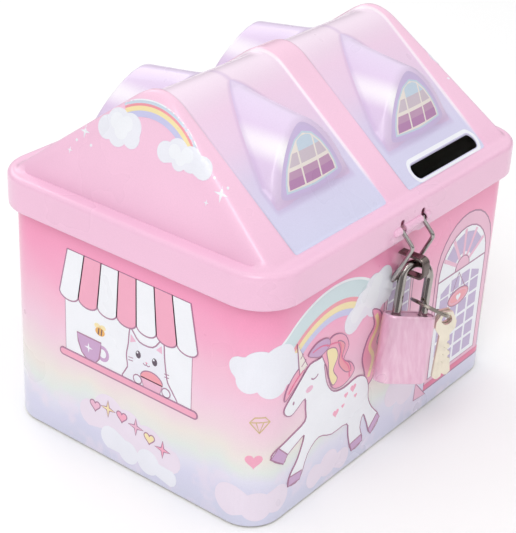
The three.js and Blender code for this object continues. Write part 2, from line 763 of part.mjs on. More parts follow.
// The keys hang straight down from the outer side of the ring, so they undo the padlock's tilt.
const keyPlace = new THREE.Vector3(ringRadius, 0, 0)
  .applyAxisAngle(new THREE.Vector3(0, 1, 0), ringTilt)
  .add(ringCentre);
padlock.updateMatrixWorld(true);
const keyPoint = padlock.localToWorld(keyPlace.clone());
const keySpread = [['key_1', -0.75, 4], ['key_2', 0.75, -7]];
for (const [name, offset, swing] of keySpread) {
  const hanging = new THREE.Group();
  hanging.position.copy(keyPoint);
  hanging.rotation.set(0, 0, THREE.MathUtils.degToRad(-32), 'ZYX');
  const key = addMesh(hanging, name, makeKey(), keySteel);
  key.position.set(0, offset, -0.9);
  key.rotation.y = THREE.MathUtils.degToRad(swing);
  box.add(hanging);
}

box.add(padlock);

export default box;
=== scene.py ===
import math

import bmesh
import bpy
import numpy as np
from mathutils import Matrix, Vector
from mathutils.bvhtree import BVHTree
from mathutils.geometry import tessellate_polygon


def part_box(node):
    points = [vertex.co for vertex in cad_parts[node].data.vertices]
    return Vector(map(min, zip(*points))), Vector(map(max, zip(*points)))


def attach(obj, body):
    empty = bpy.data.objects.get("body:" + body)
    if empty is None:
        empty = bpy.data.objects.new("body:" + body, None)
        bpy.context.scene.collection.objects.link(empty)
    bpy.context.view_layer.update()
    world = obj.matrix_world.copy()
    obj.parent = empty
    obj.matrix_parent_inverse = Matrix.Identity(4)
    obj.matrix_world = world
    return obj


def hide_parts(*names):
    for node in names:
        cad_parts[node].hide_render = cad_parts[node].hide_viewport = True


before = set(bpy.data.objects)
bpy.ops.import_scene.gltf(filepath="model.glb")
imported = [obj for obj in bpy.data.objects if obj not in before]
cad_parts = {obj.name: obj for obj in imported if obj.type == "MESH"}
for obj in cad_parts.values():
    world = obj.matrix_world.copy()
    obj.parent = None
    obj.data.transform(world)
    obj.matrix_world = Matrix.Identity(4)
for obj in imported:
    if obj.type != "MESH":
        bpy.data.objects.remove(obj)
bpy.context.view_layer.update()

# ---------------------------------------------------------------- body wall
# The body is one strip of printed tinplate wrapped into a box with round corners. Its top edge is
# rolled inwards, its bottom edge is folded in to hold the base, and its side seam is at the back.
MM = 0.001
wall_low, wall_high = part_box("body_wall")
half_width, half_depth, wall_top = wall_high.x / MM, -wall_low.y / MM, wall_high.z / MM
corner_radius = 11.0
sheet = 0.4
bead = 0.8
fold_width = 5.0


def srgb(red, green, blue):
    """Linear colour of a printed shade given in steps of 255."""
    steps = [value / 255 for value in (red, green, blue)]
    return tuple(v / 12.92 if v <= 0.04045 else ((v + 0.055) / 1.055) ** 2.4 for v in steps) + (1,)


def add_node(tree, kind, inputs=None, **settings):
    made = tree.nodes.new(kind)
    for key, value in settings.items():
        setattr(made, key, value)
    for key, value in (inputs or {}).items():
        if isinstance(value, bpy.types.NodeSocket):
            tree.links.new(value, made.inputs[key])
        else:
            made.inputs[key].default_value = value
    return made


def calc(tree, operation, *values):
    inputs = dict(enumerate(values))
    return add_node(tree, "ShaderNodeMath", inputs, operation=operation).outputs[0]


def noise(tree, vector, scale, detail):
    inputs = {"Vector": vector, "Scale": scale, "Detail": detail}
    return add_node(tree, "ShaderNodeTexNoise", inputs).outputs["Fac"]


def fade(tree, value, start, end):
    """0 where value is at start, 1 at end, smooth between."""
    inputs = {"Value": value, "From Min": start, "From Max": end}
    return add_node(
        tree, "ShaderNodeMapRange", inputs, interpolation_type="SMOOTHSTEP"
    ).outputs["Result"]


def blend_colour(tree, share, first, second, blend_type="MIX"):
    made = add_node(tree, "ShaderNodeMix", data_type="RGBA", blend_type=blend_type)
    for index, value in ((0, share), (6, first), (7, second)):
        if isinstance(value, bpy.types.NodeSocket):
            tree.links.new(value, made.inputs[index])
        else:
            made.inputs[index].default_value = value
    return made.outputs[2]


def colour_steps(tree, value, stops):
    made = add_node(tree, "ShaderNodeValToRGB", {"Fac": value})
    ramp = made.color_ramp
    while len(ramp.elements) < len(stops):
        ramp.elements.new(1)
    for element, (place, colour) in zip(ramp.elements, stops):
        element.position = place
        element.color = colour
    return made.outputs["Color"]


def new_group(name, inputs, outputs):
    group = bpy.data.node_groups.new(name, "ShaderNodeTree")
    for label, default in inputs.items():
        socket = group.interface.new_socket(
            name=label, in_out="INPUT", socket_type="NodeSocketFloat"
        )
        socket.default_value = default
    for label, kind in outputs.items():
        group.interface.new_socket(name=label, in_out="OUTPUT", socket_type=kind)
    return group, group.nodes.new("NodeGroupInput").outputs, group.nodes.new("NodeGroupOutput")


# Litho print on tin: a faint dot grain, a slow drift in the ink film and the orange peel of the
# stoved varnish.
litho, litho_in, litho_out = new_group(
    "litho_film",
    {"Grain": 1.0},
    {"Shade": "NodeSocketFloat", "Gloss": "NodeSocketFloat", "Height": "NodeSocketFloat"},
)
litho_place = add_node(litho, "ShaderNodeTexCoord").outputs["Object"]
dots = noise(litho, litho_place, 2600.0, 2.0)
drift = noise(litho, litho_place, 34.0, 3.0)
peel = noise(litho, litho_place, 420.0, 1.0)
dot_part = calc(litho, "MULTIPLY", calc(litho, "SUBTRACT", dots, 0.5), litho_in["Grain"])
drift_part = calc(litho, "SUBTRACT", drift, 0.5)
shade = calc(
    litho,
    "ADD",
    calc(litho, "MULTIPLY_ADD", dot_part, 0.10, 1.0),
    calc(litho, "MULTIPLY", drift_part, 0.07),
)
litho.links.new(shade, litho_out.inputs["Shade"])
litho.links.new(calc(litho, "MULTIPLY_ADD", drift, 0.14, 0.22), litho_out.inputs["Gloss"])
litho.links.new(
    calc(litho, "MULTIPLY_ADD", dots, 0.12, peel), litho_out.inputs["Height"]
)


def new_material(name):
    material = bpy.data.materials.new(name)
    material.use_nodes = True
    return material, material.node_tree, material.node_tree.nodes["Principled BSDF"]


def add_bump(tree, shader, height, strength, distance):
    inputs = {"Height": height, "Strength": strength, "Distance": distance}
    normal = add_node(tree, "ShaderNodeBump", inputs).outputs["Normal"]
    tree.links.new(normal, shader.inputs["Normal"])


def litho_material(name, paint, grain=1.0, bump=0.05):
    """Printed and varnished tin. paint(tree) gives the ink's colour before the film's own shade."""
    material, tree, shader = new_material(name)
    film = add_node(tree, "ShaderNodeGroup", node_tree=litho)
    film.inputs["Grain"].default_value = grain
    tinted = add_node(
        tree, "ShaderNodeVectorMath", {0: paint(tree), 1: film.outputs["Shade"]},
        operation="MULTIPLY",
    ).outputs[0]
    tree.links.new(tinted, shader.inputs["Base Color"])
    tree.links.new(film.outputs["Gloss"], shader.inputs["Roughness"])
    add_bump(tree, shader, film.outputs["Height"], bump, 0.0001)
    shader.inputs["Coat Weight"].default_value = 0.35
    shader.inputs["Coat Roughness"].default_value = 0.12
    shader.inputs["Specular IOR Level"].default_value = 0.45
    return material


def place_in_mm(tree):
    """The place on the surface in millimetres: as one vector, and as its X, Y and Z."""
    coords = add_node(tree, "ShaderNodeTexCoord").outputs["Object"]
    scaled = add_node(
        tree, "ShaderNodeVectorMath", {0: coords, "Scale": 1 / MM}, operation="SCALE"
    ).outputs[0]
    return scaled, add_node(tree, "ShaderNodeSeparateXYZ", {0: scaled}).outputs


sky_stops = [
    (0.00, srgb(212, 213, 233)), (0.11, srgb(217, 216, 238)), (0.19, srgb(227, 226, 241)),
    (0.26, srgb(229, 235, 230)), (0.33, srgb(238, 231, 224)), (0.41, srgb(241, 217, 224)),
    (0.52, srgb(243, 203, 222)), (0.64, srgb(245, 190, 213)), (0.76, srgb(246, 172, 203)),
    (0.90, srgb(247, 157, 194)), (1.00, srgb(245, 150, 188)),
]


def paint_sky(tree):
    """The wall's ground: pink at the top, a cream and mint haze, then lilac at the foot."""
    point, parts = place_in_mm(tree)
    haze = noise(tree, point, 0.045, 2.0)
    lifted = calc(tree, "MULTIPLY_ADD", calc(tree, "SUBTRACT", haze, 0.5), 16.0, parts["Z"])
    sky = colour_steps(tree, calc(tree, "DIVIDE", lifted, 74.0), sky_stops)
    puff = noise(tree, point, 0.11, 3.0)
    low = calc(tree, "SUBTRACT", 1.0, fade(tree, parts["Z"], 12.0, 30.0))
    milky = calc(tree, "MULTIPLY", fade(tree, puff, 0.5, 0.66), calc(tree, "MULTIPLY", low, 0.45))
    outside = blend_colour(tree, milky, sky, srgb(240, 226, 240))
    across = calc(
        tree, "MAXIMUM",
        calc(tree, "SUBTRACT", calc(tree, "ABSOLUTE", parts["X"]), half_width - 0.25),
        calc(tree, "SUBTRACT", calc(tree, "ABSOLUTE", parts["Y"]), half_depth - 0.25),
    )
    corner_x = calc(
        tree, "MAXIMUM",
        calc(tree, "SUBTRACT", calc(tree, "ABSOLUTE", parts["X"]), half_width - corner_radius),
        0.0,
    )
    corner_y = calc(
        tree, "MAXIMUM",
        calc(tree, "SUBTRACT", calc(tree, "ABSOLUTE", parts["Y"]), half_depth - corner_radius),
        0.0,
    )
    reach = calc(
        tree, "SQRT",
        calc(tree, "MULTIPLY_ADD", corner_x, corner_x, calc(tree, "MULTIPLY", corner_y, corner_y)),
    )
    rounded = calc(tree, "SUBTRACT", reach, corner_radius - 0.25)
    printed = fade(tree, calc(tree, "MAXIMUM", across, rounded), -0.05, 0.05)
    return blend_colour(tree, printed, srgb(196, 192, 186), outside)


def rounded_ring(half_x, half_y, radius, z, corner_steps=14):
    """A rounded rectangle as a ring of points in millimetres, anticlockwise from +X."""
    ring = []
    for side_x, side_y, start in ((1, 1, 0), (-1, 1, 90), (-1, -1, 180), (1, -1, 270)):
        for step in range(corner_steps + 1):
            angle = math.radians(start + 90 * step / corner_steps)
            ring.append((
                side_x * (half_x - radius) + radius * math.cos(angle),
                side_y * (half_y - radius) + radius * math.sin(angle),
                z,
            ))
    return ring


def loft(name, rings, looped=False):
    """Joins rings of points (mm) into one closed mesh: capped, or the last ring to the first."""
    count = len(rings[0])
    points = [point for ring in rings for point in ring]
    faces = []
    for strip in range(len(rings) if looped else len(rings) - 1):
        low, high = strip * count, (strip + 1) % len(rings) * count
        for side in range(count):
            after = (side + 1) % count
            faces.append((low + side, low + after, high + after, high + side))
    if not looped:
        last = (len(rings) - 1) * count
        faces.append(tuple(reversed(range(count))))
        faces.append(tuple(last + side for side in range(count)))
    mesh = bpy.data.meshes.new(name)
    mesh.from_pydata([Vector(point) * MM for point in points], [], faces)
    return mesh


def face_outwards(mesh):
    tidy = bmesh.new()
    tidy.from_mesh(mesh)
    bmesh.ops.recalc_face_normals(tidy, faces=tidy.faces)
    tidy.to_mesh(mesh)
    tidy.free()


def add_object(name, data):
    made = bpy.data.objects.new(name, data)
    bpy.context.scene.collection.objects.link(made)
    return made


def add_piece(name, mesh, material, body, replaced=(), sharp=35):
    """Puts a finished mesh in the scene, on its body, with its finish."""
    face_outwards(mesh)
    mesh.materials.clear()
    mesh.materials.append(material)
    mesh.shade_smooth()
    mesh.set_sharp_from_angle(angle=math.radians(sharp))
    piece = add_object(name, mesh)
    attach(piece, body)
    if replaced:
        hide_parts(*replaced)
    return piece


def ellipse(x, y, half_x, half_y, steps=18, start=0, end=360):
    count = steps if end - start == 360 else steps + 1
    return [
        (x + half_x * math.cos(math.radians(start + (end - start) * step / steps)),
         y + half_y * math.sin(math.radians(start + (end - start) * step / steps)))
        for step in range(count)
    ]


def arc(x, y, radius, start, end, steps):
    return ellipse(x, y, radius, radius, steps, start, end)


bottom_bend = 1.2
bead_middle = wall_top - bead
wall_profile = [(bottom_bend, 0)]
wall_profile += arc(bottom_bend, bottom_bend, bottom_bend, 270, 180, 6)[1:]
wall_profile += arc(bead, bead_middle, bead, 180, -60, 16)
wall_profile += [(sheet, bead_middle - 1.3), (sheet, bottom_bend)]
wall_profile += arc(bottom_bend, bottom_bend, bottom_bend - sheet, 180, 270, 4)[1:]
wall_profile += [(fold_width, sheet), (fold_width, 0)]
add_piece(
    "printed_body_wall",
    loft("printed_body_wall", [
        rounded_ring(half_width - inset, half_depth - inset, corner_radius - inset, z)
        for inset, z in wall_profile
    ], looped=True),
    litho_material("sky_print", paint_sky),
    "box", ["body_wall"],
)

# The lock seam: both ends of the strip hooked together and hammered flat, down the back.
seam_half, seam_proud = 1.6, wall_high.y / MM - half_depth
seam_ring = [
    (-seam_half - 0.5, -0.1), (-seam_half, seam_proud * 0.8), (-seam_half + 0.3, seam_proud),
    (seam_half - 0.3, seam_proud), (seam_half, seam_proud * 0.8), (seam_half + 0.5, -0.1),
]
add_piece(
    "back_seam",
    loft("back_seam", [
        [(x, half_depth + y, z) for x, y in seam_ring] for z in (2.0, wall_top - 4.0)
    ]),
    bpy.data.materials["sky_print"], "box",
)

# ---------------------------------------------------------------- base plate
# The box's floor: a drawn plate of clear-lacquered tin with no print on it. It is dropped into the
# body's bottom fold and clinched by it.


def bare_metal(name, colour, rough, metallic=1.0, grain=(90.0, 90.0, 900.0), wear=0.5, bump=0.12):
    """Bare or plated metal with rubbed patches and fine lines along the axes of low grain."""
    material, tree, shader = new_material(name)
    surface = add_node(tree, "ShaderNodeGroup", node_tree=metal_surface)
    for label, value in zip(("Along X", "Along Y", "Along Z"), grain):
        surface.inputs[label].default_value = value
    surface.inputs["Wear"].default_value = wear
    tinted = blend_colour(
        tree, surface.outputs["Rub"], colour, tuple(c * 0.62 for c in colour[:3]) + (1,)
    )
    tree.links.new(tinted, shader.inputs["Base Color"])
    tree.links.new(
        calc(tree, "MULTIPLY_ADD", surface.outputs["Rub"], 0.22, rough), shader.inputs["Roughness"]
    )
    add_bump(tree, shader, surface.outputs["Lines"], bump, 0.00005)
    shader.inputs["Metallic"].default_value = metallic
    return material


metal_surface, metal_in, metal_out = new_group(
    "metal_surface",
    {"Along X": 90.0, "Along Y": 90.0, "Along Z": 900.0, "Wear": 0.5},
    {"Lines": "NodeSocketFloat", "Rub": "NodeSocketFloat"},
)
metal_place = add_node(metal_surface, "ShaderNodeTexCoord").outputs["Object"]
stretch = add_node(
    metal_surface, "ShaderNodeCombineXYZ",
    {"X": metal_in["Along X"], "Y": metal_in["Along Y"], "Z": metal_in["Along Z"]},
).outputs[0]
drawn = add_node(
    metal_surface, "ShaderNodeVectorMath", {0: metal_place, 1: stretch}, operation="MULTIPLY"
).outputs[0]
lines = noise(metal_surface, drawn, 3.0, 4.0)
patches = noise(metal_surface, metal_place, 260.0, 5.0)
rubbed = calc(
    metal_surface, "MULTIPLY",
    fade(metal_surface, calc(metal_surface, "MULTIPLY_ADD", lines, 0.35, patches), 0.55, 0.95),
    metal_in["Wear"],
)
metal_surface.links.new(lines, metal_out.inputs["Lines"])
metal_surface.links.new(rubbed, metal_out.inputs["Rub"])


def finish_node(name, material):
    """Gives a carried-over part its real surface."""
    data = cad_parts[name].data
    data.materials.clear()
    data.materials.append(material)


inside_tin = bare_metal(
    "lacquered_tin", srgb(214, 211, 206), 0.3, grain=(60.0, 900.0, 60.0), wear=0.35
)
finish_node("base_plate", inside_tin)

# ---------------------------------------------------------------- roof lid
# One sheet of printed tin drawn into a roof: a flat rim, two slopes with four recessed panels and
# four dormer hoods, and two steep gables. Its skirt laps over the body and is rolled at the edge.
lid_half_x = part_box("lid_shell")[1].x / MM
overhang = lid_half_x - half_width
lid_half_y, lid_radius = half_depth + overhang, corner_radius + overhang
ledge, skirt_drop = 84.6, 10.9
skirt_bottom = ledge - skirt_drop
rim_x, rim_y, rim_fillet = 5.0, 4.0, 1.3
foot_x, foot_y = lid_half_x - rim_x, lid_half_y - rim_y
slope_angle, gable_angle = 38, 76
slope_rise, gable_rise = math.tan(math.radians(slope_angle)), math.tan(math.radians(gable_angle))
ridge_round, gable_round = 12, 9
panel_inner, panel_outer, panel_foot = 5.6, 49.6, 47.1
panel_depth, panel_edge = 1.4, 0.8
dormer_x, dormer_half, dormer_foot, dormer_tip, dormer_apex = 27.0, 16.0, 35.6, 4.5, 28.2
dormer_apex_z, dormer_tip_z, dormer_foot_z = 112.2, 115.6, 94.0
hood_taper, hood_crown, hood_edge_round, face_bulge = 0.75, 1.9, 2.2, 1.1
slot_x, slot_y, slot_half, slot_end = 30.5, -43.6, 17.5, 2.13


def soft_min(a, b, width):
    share = np.maximum(width - np.abs(a - b), 0) / width
    return np.minimum(a, b) - share * share * width / 4


def smooth_step(start, end, value):
    t = np.clip((value - start) / (end - start), 0, 1)
    return t * t * (3 - 2 * t)


def roof_height(x, y):
    """Height of the roof's outer face over the plan, in millimetres."""
    side_x, side_y = np.abs(x), np.abs(y)
    slope = (foot_y - side_y) * slope_rise
    gable = (foot_x - side_x) * gable_rise
    ridged = soft_min(slope, (foot_y + side_y) * slope_rise, ridge_round)
    rise = np.maximum(soft_min(ridged, gable, gable_round), 0)
    rise = np.where(
        rise < rim_fillet, rise * rise / (2 * rim_fillet), rise - rim_fillet / 2
    )
    in_x = smooth_step(panel_inner - panel_edge, panel_inner + panel_edge, side_x)
    in_x = in_x * (1 - smooth_step(panel_outer - panel_edge, panel_outer + panel_edge, side_x))
    in_y = 1 - smooth_step(panel_foot - panel_edge, panel_foot + panel_edge, side_y)
    panel = ledge + rise - panel_depth * in_x * in_y
    reach = (side_y - dormer_tip) / (dormer_apex - dormer_tip)
    spread = dormer_half * np.clip(reach, 1e-4, 1.12) ** hood_taper
    offset = np.abs(side_x - dormer_x)
    across = np.minimum(offset / spread, 1)
    ridge = dormer_tip_z + (dormer_apex_z - dormer_tip_z) * np.clip(reach, 0, 1)
    hood = panel + np.maximum(ridge - panel, 0) * (1 - across ** hood_crown)
    bulge = face_bulge * (1 - np.minimum(offset / dormer_half, 1) ** 2)
    face_rise = (dormer_apex_z - dormer_foot_z) / (dormer_apex - dormer_foot)
    face = dormer_foot_z + (side_y - dormer_foot - bulge + 0.4) * face_rise
    raised = np.maximum(panel, soft_min(hood, face, hood_edge_round))
    return np.where((reach > 0) & (offset < spread), raised, panel)


def rim_point(x, y, inset):
    """The rim point, drawn in by inset, that belongs to a point on the roof's foot."""
    turn_run = 16
    start_x, start_y = foot_x - turn_run, foot_y - turn_run
    half_x, half_y, radius = lid_half_x - inset, lid_half_y - inset, lid_radius - inset
    side_x, side_y = abs(x), abs(y)
    if side_x <= start_x:
        point = (side_x, half_y)
    elif side_y <= start_y:
        point = (half_x, side_y)
    else:
        along = side_x - start_x if side_y > foot_y - 1e-6 else turn_run + foot_y - side_y
        first = half_x - radius - start_x
        bend = radius * math.pi / 2
        distance = along / (2 * turn_run) * (first + bend + half_y - radius - start_y)
        if distance < first:
            point = (start_x + distance, half_y)
        elif distance < first + bend:
            turn = (distance - first) / radius
            point = (
                half_x - radius + radius * math.sin(turn),
                half_y - radius + radius * math.cos(turn),
            )
        else:
            point = (half_x, half_y - radius - (distance - first - bend))
    return math.copysign(point[0], x), math.copysign(point[1], y)


def grid_lines(half, spacing):
    count = round(half / spacing)
    return np.linspace(-half, half, 2 * count + 1)


mesh_step = 0.62
roof_x, roof_y = grid_lines(foot_x, mesh_step), grid_lines(foot_y, mesh_step)
grid_x, grid_y = np.meshgrid(roof_x, roof_y)
corner_span = 9.0
into_x = np.clip((np.abs(grid_x) - foot_x + corner_span) / corner_span, 0, 1)
into_y = np.clip((np.abs(grid_y) - foot_y + corner_span) / corner_span, 0, 1)
bent_x = grid_x - np.sign(grid_x) * corner_span * into_x * (1 - np.sqrt(1 - into_y**2 / 2))
bent_y = grid_y - np.sign(grid_y) * corner_span * into_y * (1 - np.sqrt(1 - into_x**2 / 2))
grid_z = roof_height(bent_x, bent_y)
columns, rows = len(roof_x), len(roof_y)
foot_points = list(zip(grid_x.ravel(), grid_y.ravel()))
lid_points = list(zip(bent_x.ravel(), bent_y.ravel(), grid_z.ravel()))
lid_faces = [
    (row * columns + column, row * columns + column + 1,
     (row + 1) * columns + column + 1, (row + 1) * columns + column)
    for row in range(rows - 1) for column in range(columns - 1)
]
edge_ring = list(range(columns - 1))
edge_ring += [row * columns + columns - 1 for row in range(rows - 1)]
edge_ring += [(rows - 1) * columns + column for column in range(columns - 1, 0, -1)]
edge_ring += [row * columns for row in range(rows - 1, 0, -1)]
rim_round = 1.6
skirt_profile = [(3.0, ledge), (rim_round + 0.4, ledge)]
skirt_profile += arc(rim_round, ledge - rim_round, rim_round, 90, 180, 6)
skirt_profile += [(0, z) for z in (81.5, 79.5, 77.5, 75.6)]
skirt_profile += arc(bead, skirt_bottom + bead, bead, 180, 400, 12)
below = edge_ring
for inset, z in skirt_profile:
    start = len(lid_points)
    for index in edge_ring:
        foot = foot_points[index]
        lid_points.append((*rim_point(foot[0], foot[1], inset), z))
    count = len(edge_ring)
    for side in range(count):
        after = (side + 1) % count
        lid_faces.append((below[after], below[side], start + side, start + after))
    below = list(range(start, start + count))
lid_mesh = bpy.data.meshes.new("roof_lid")
lid_mesh.from_pydata([Vector(point) * MM for point in lid_points], [], lid_faces)
lid_surface = BVHTree.FromPolygons([Vector(point) for point in lid_points], lid_faces)


def finished_mesh(mesh, modifiers):
    """The mesh with modifiers applied, each given as (kind, settings)."""
    holder = add_object(mesh.name, mesh)
    for kind, settings in modifiers:
        modifier = holder.modifiers.new(kind.lower(), kind)
        for key, value in settings.items():
            setattr(modifier, key, value)
    bpy.context.view_layer.update()
    made = bpy.data.meshes.new_from_object(
        holder.evaluated_get(bpy.context.evaluated_depsgraph_get())
    )
    bpy.data.objects.remove(holder)
    made.name = mesh.name
    return made


def cutter(mesh):
    """An object to cut or join with, removed as soon as it has been used."""
    face_outwards(mesh)
    return add_object(mesh.name, mesh)


def capsule_rings(radius, half_length, y, z, sides=20):
    """A rod along X with round ends."""
    rings = []
    for end in (-1, 1):
        angles = [10, 35, 60, 90] if end < 0 else [90, 60, 35, 10]
        for angle in angles:
            around = radius * math.sin(math.radians(angle))
            along = end * (half_length - radius + radius * math.cos(math.radians(angle)))
            rings.append([
                (along, y + around * math.cos(2 * math.pi * side / sides),
                 z + around * math.sin(2 * math.pi * side / sides))
                for side in range(sides)
            ])
    return rings


def slot_ring(grow, z):
    half, end = slot_half + grow, slot_end + grow
    return [
        (x + slot_x, y + slot_y, z)
        for x, y, z in rounded_ring(half, end, end * 0.98, z, 8)
    ]


bail_z, bail_half_span, bail_wire = 77.7, 5.5, 0.65
bail_y = -lid_half_y + sheet / 2
channel_bore, channel_half = bail_wire + 0.3, 9.2
scallop_radius, scallop_z = 9, skirt_bottom - 7.6
bail_hole_rise, bail_hole_half = 0.8, 2.4
scallop = [
    [(x, y, z) for x, z in arc(0, scallop_z, scallop_radius, 0, 360, 40)]
    for y in (-lid_half_y - 3, -lid_half_y + 3)
]
holes = [
    [[(side * bail_half_span + x, y, bail_z + bail_hole_rise + z)
      for x, z, _ in rounded_ring(channel_bore + 0.1, bail_hole_half, 0.8, 0, 4)]
     for y in (bail_y - 3, bail_y + 1.0)]
    for side in (-1, 1)
]
channel = cutter(loft("channel", capsule_rings(
    channel_bore + sheet, channel_half + sheet, bail_y, bail_z
)))
channel_hollow = cutter(loft("hollow", capsule_rings(channel_bore, channel_half, bail_y, bail_z)))
open_back = cutter(loft("open_back", [
    [(x, bail_y + y, bail_z + z) for x, y in ((-12, 0.2), (12, 0.2), (12, 3), (-12, 3))]
    for z in (-2.4, 2.4)
]))
coin_cut = cutter(loft("coin_cut", [slot_ring(0, z) for z in (ledge - 4, ledge + 12)]))
scallop_cut = cutter(loft("scallop_cut", scallop))
hole_cuts = [cutter(loft("hole_cut", rings)) for rings in holes]
shell = [("SOLIDIFY", {"thickness": sheet * MM, "offset": -1.0, "material_offset": 1})]
join_channel = ("BOOLEAN", {"operation": "UNION", "object": channel, "solver": "EXACT"})
cuts = [
    ("BOOLEAN", {"operation": "DIFFERENCE", "object": made, "solver": "EXACT"})
    for made in (open_back, channel_hollow, coin_cut, scallop_cut, *hole_cuts)
]
lid_mesh.materials.append(inside_tin)
lid_mesh.materials.append(inside_tin)
lid_final = finished_mesh(lid_mesh, shell + [join_channel] + cuts)
face_sides = [face.material_index for face in lid_final.polygons]
for made in (channel, channel_hollow, open_back, coin_cut, scallop_cut, *hole_cuts):
    bpy.data.objects.remove(made)

panel_stops = [
    (0.00, srgb(213, 214, 239)), (0.22, srgb(214, 210, 237)), (0.42, srgb(219, 208, 232)),
    (0.60, srgb(232, 205, 229)), (0.80, srgb(239, 208, 231)), (1.00, srgb(241, 224, 238)),
]
hood_stops = [
    (0.00, srgb(214, 190, 219)), (0.35, srgb(222, 203, 230)), (0.70, srgb(227, 207, 235)),
    (1.00, srgb(229, 214, 239)),
]


def paint_roof(tree):
    """Pink ground, lilac panels edged in white, lilac hoods with a painted highlight on their -X
    side, and painted shade in the crease round each hood.
    """
    parts = place_in_mm(tree)[1]
    side_x = calc(tree, "ABSOLUTE", parts["X"])
    side_y = calc(tree, "ABSOLUTE", parts["Y"])
    height = calc(tree, "DIVIDE", calc(tree, "SUBTRACT", parts["Z"], 84.0), 35.0)
    ground = colour_steps(tree, height, [
        (0.0, srgb(243, 194, 220)), (0.3, srgb(247, 199, 224)), (1.0, srgb(246, 203, 225)),
    ])
    inward = calc(
        tree, "SMOOTH_MIN",
        calc(
            tree, "SMOOTH_MIN",
            calc(tree, "SUBTRACT", side_x, panel_inner),
            calc(tree, "SUBTRACT", panel_outer, side_x), 2.0,
        ),
        calc(tree, "SUBTRACT", panel_foot, side_y), 2.2,
    )
    on_top = fade(tree, parts["Z"], ledge - 0.6, ledge - 0.2)
    in_panel = calc(tree, "MULTIPLY", fade(tree, inward, -0.15, 0.15), on_top)
    line = calc(
        tree, "MULTIPLY",
        calc(tree, "SUBTRACT", 1.0, fade(tree, calc(tree, "ABSOLUTE", inward), 0.15, 0.55)),
        calc(tree, "MULTIPLY", fade(tree, height, 0.06, 0.3), on_top),
    )
    panel = colour_steps(tree, height, panel_stops)
    roof = blend_colour(tree, in_panel, ground, panel)
    roof = blend_colour(
        tree, calc(tree, "MULTIPLY", line, 0.75), roof, srgb(253, 244, 250)
    )
    reach = calc(
        tree, "DIVIDE", calc(tree, "SUBTRACT", side_y, dormer_tip), dormer_apex - dormer_tip
    )
    spread = calc(
        tree, "MULTIPLY",
        calc(
            tree, "POWER",
            calc(tree, "MINIMUM", calc(tree, "MAXIMUM", reach, 0.0001), 1.12),
            hood_taper,
        ), dormer_half,
    )
    offset = calc(tree, "SUBTRACT", side_x, dormer_x)
    hood_edge = calc(tree, "SUBTRACT", spread, calc(tree, "ABSOLUTE", offset))
    before_foot = calc(tree, "SUBTRACT", dormer_foot + 0.9, side_y)
    hood_in = calc(tree, "SMOOTH_MIN", hood_edge, before_foot, 1.5)
    in_hood = calc(tree, "MULTIPLY", fade(tree, hood_in, -0.1, 0.3), on_top)
    # Painted shade: the crease round each hood's foot is darkened towards a grey lilac (190, 160,
    # 205).
    crease_painted_shade = calc(
        tree, "SUBTRACT", 1.0, fade(tree, calc(tree, "ABSOLUTE", hood_in), 0.1, 1.6)
    )
    hood = colour_steps(tree, height, hood_stops)
    # Painted highlight: a soft near-white patch on the -X side of each hood, standing in for the
    # key lamp's sheen.
    west = calc(tree, "MULTIPLY", offset, calc(tree, "SIGN", parts["X"]))
    painted_highlight_x = calc(tree, "DIVIDE", calc(tree, "ADD", west, 8.6), 4.6)
    painted_highlight_z = calc(tree, "DIVIDE", calc(tree, "SUBTRACT", parts["Z"], 104.2), 5.6)
    painted_highlight_span = calc(
        tree, "SQRT",
        calc(tree, "MULTIPLY_ADD", painted_highlight_x, painted_highlight_x, calc(tree, "MULTIPLY", painted_highlight_z, painted_highlight_z)),
    )
    painted_highlight = calc(tree, "SUBTRACT", 1.0, fade(tree, painted_highlight_span, 0.25, 1.15))
    hood = blend_colour(tree, painted_highlight, hood, srgb(255, 253, 255))
    roof = blend_colour(tree, in_hood, roof, hood)
    return blend_colour(
        tree, calc(tree, "MULTIPLY", calc(tree, "MULTIPLY", crease_painted_shade, on_top), 0.35),
        roof, srgb(190, 160, 205),
    )


roof_print = litho_material("roof_print", paint_roof)
add_piece("roof_lid", lid_final, roof_print, "lid", ["lid_shell"], sharp=50)
lid_final.materials.append(inside_tin)
lid_final.polygons.foreach_set("material_index", face_sides)

# ---------------------------------------------------------------- wall artwork
# Fairy-tale decoration printed over the ground coat: a shop window and a door, a rainbow, clouds
# and a plain unicorn. Each ink is a thin plate of its own, layered 0.02 mm apart.
flat_x, flat_y = half_width - corner_radius, half_depth - corner_radius
corner_length = corner_radius * math.pi / 2
left_middle = -(flat_x + corner_length + flat_y)
right_middle, back_middle = -left_middle, -2 * left_middle
inks = {
    "white": (246, 248, 253), "cloud": (241, 242, 250), "outline": (172, 122, 152),
    "soft_pink": (246, 170, 196), "deep_pink": (233, 118, 158), "rose": (244, 160, 172),
    "cream": (250, 232, 178), "mint": (212, 230, 234), "bluebell": (206, 206, 240),
    "pane": (194, 176, 212), "grape": (205, 165, 206), "orange": (240, 178, 90),
    "dark": (84, 66, 84), "frame_pink": (240, 188, 212), "haze": (240, 228, 242),
    "gold": (216, 190, 140), "ivory": (244, 236, 228), "plum": (200, 160, 190),
    "glass": (214, 200, 210), "lilac": (212, 194, 232), "haze_blue": (206, 222, 236),
    "violet": (211, 194, 229), "plum_low": (190, 140, 184),
}
prints = {}


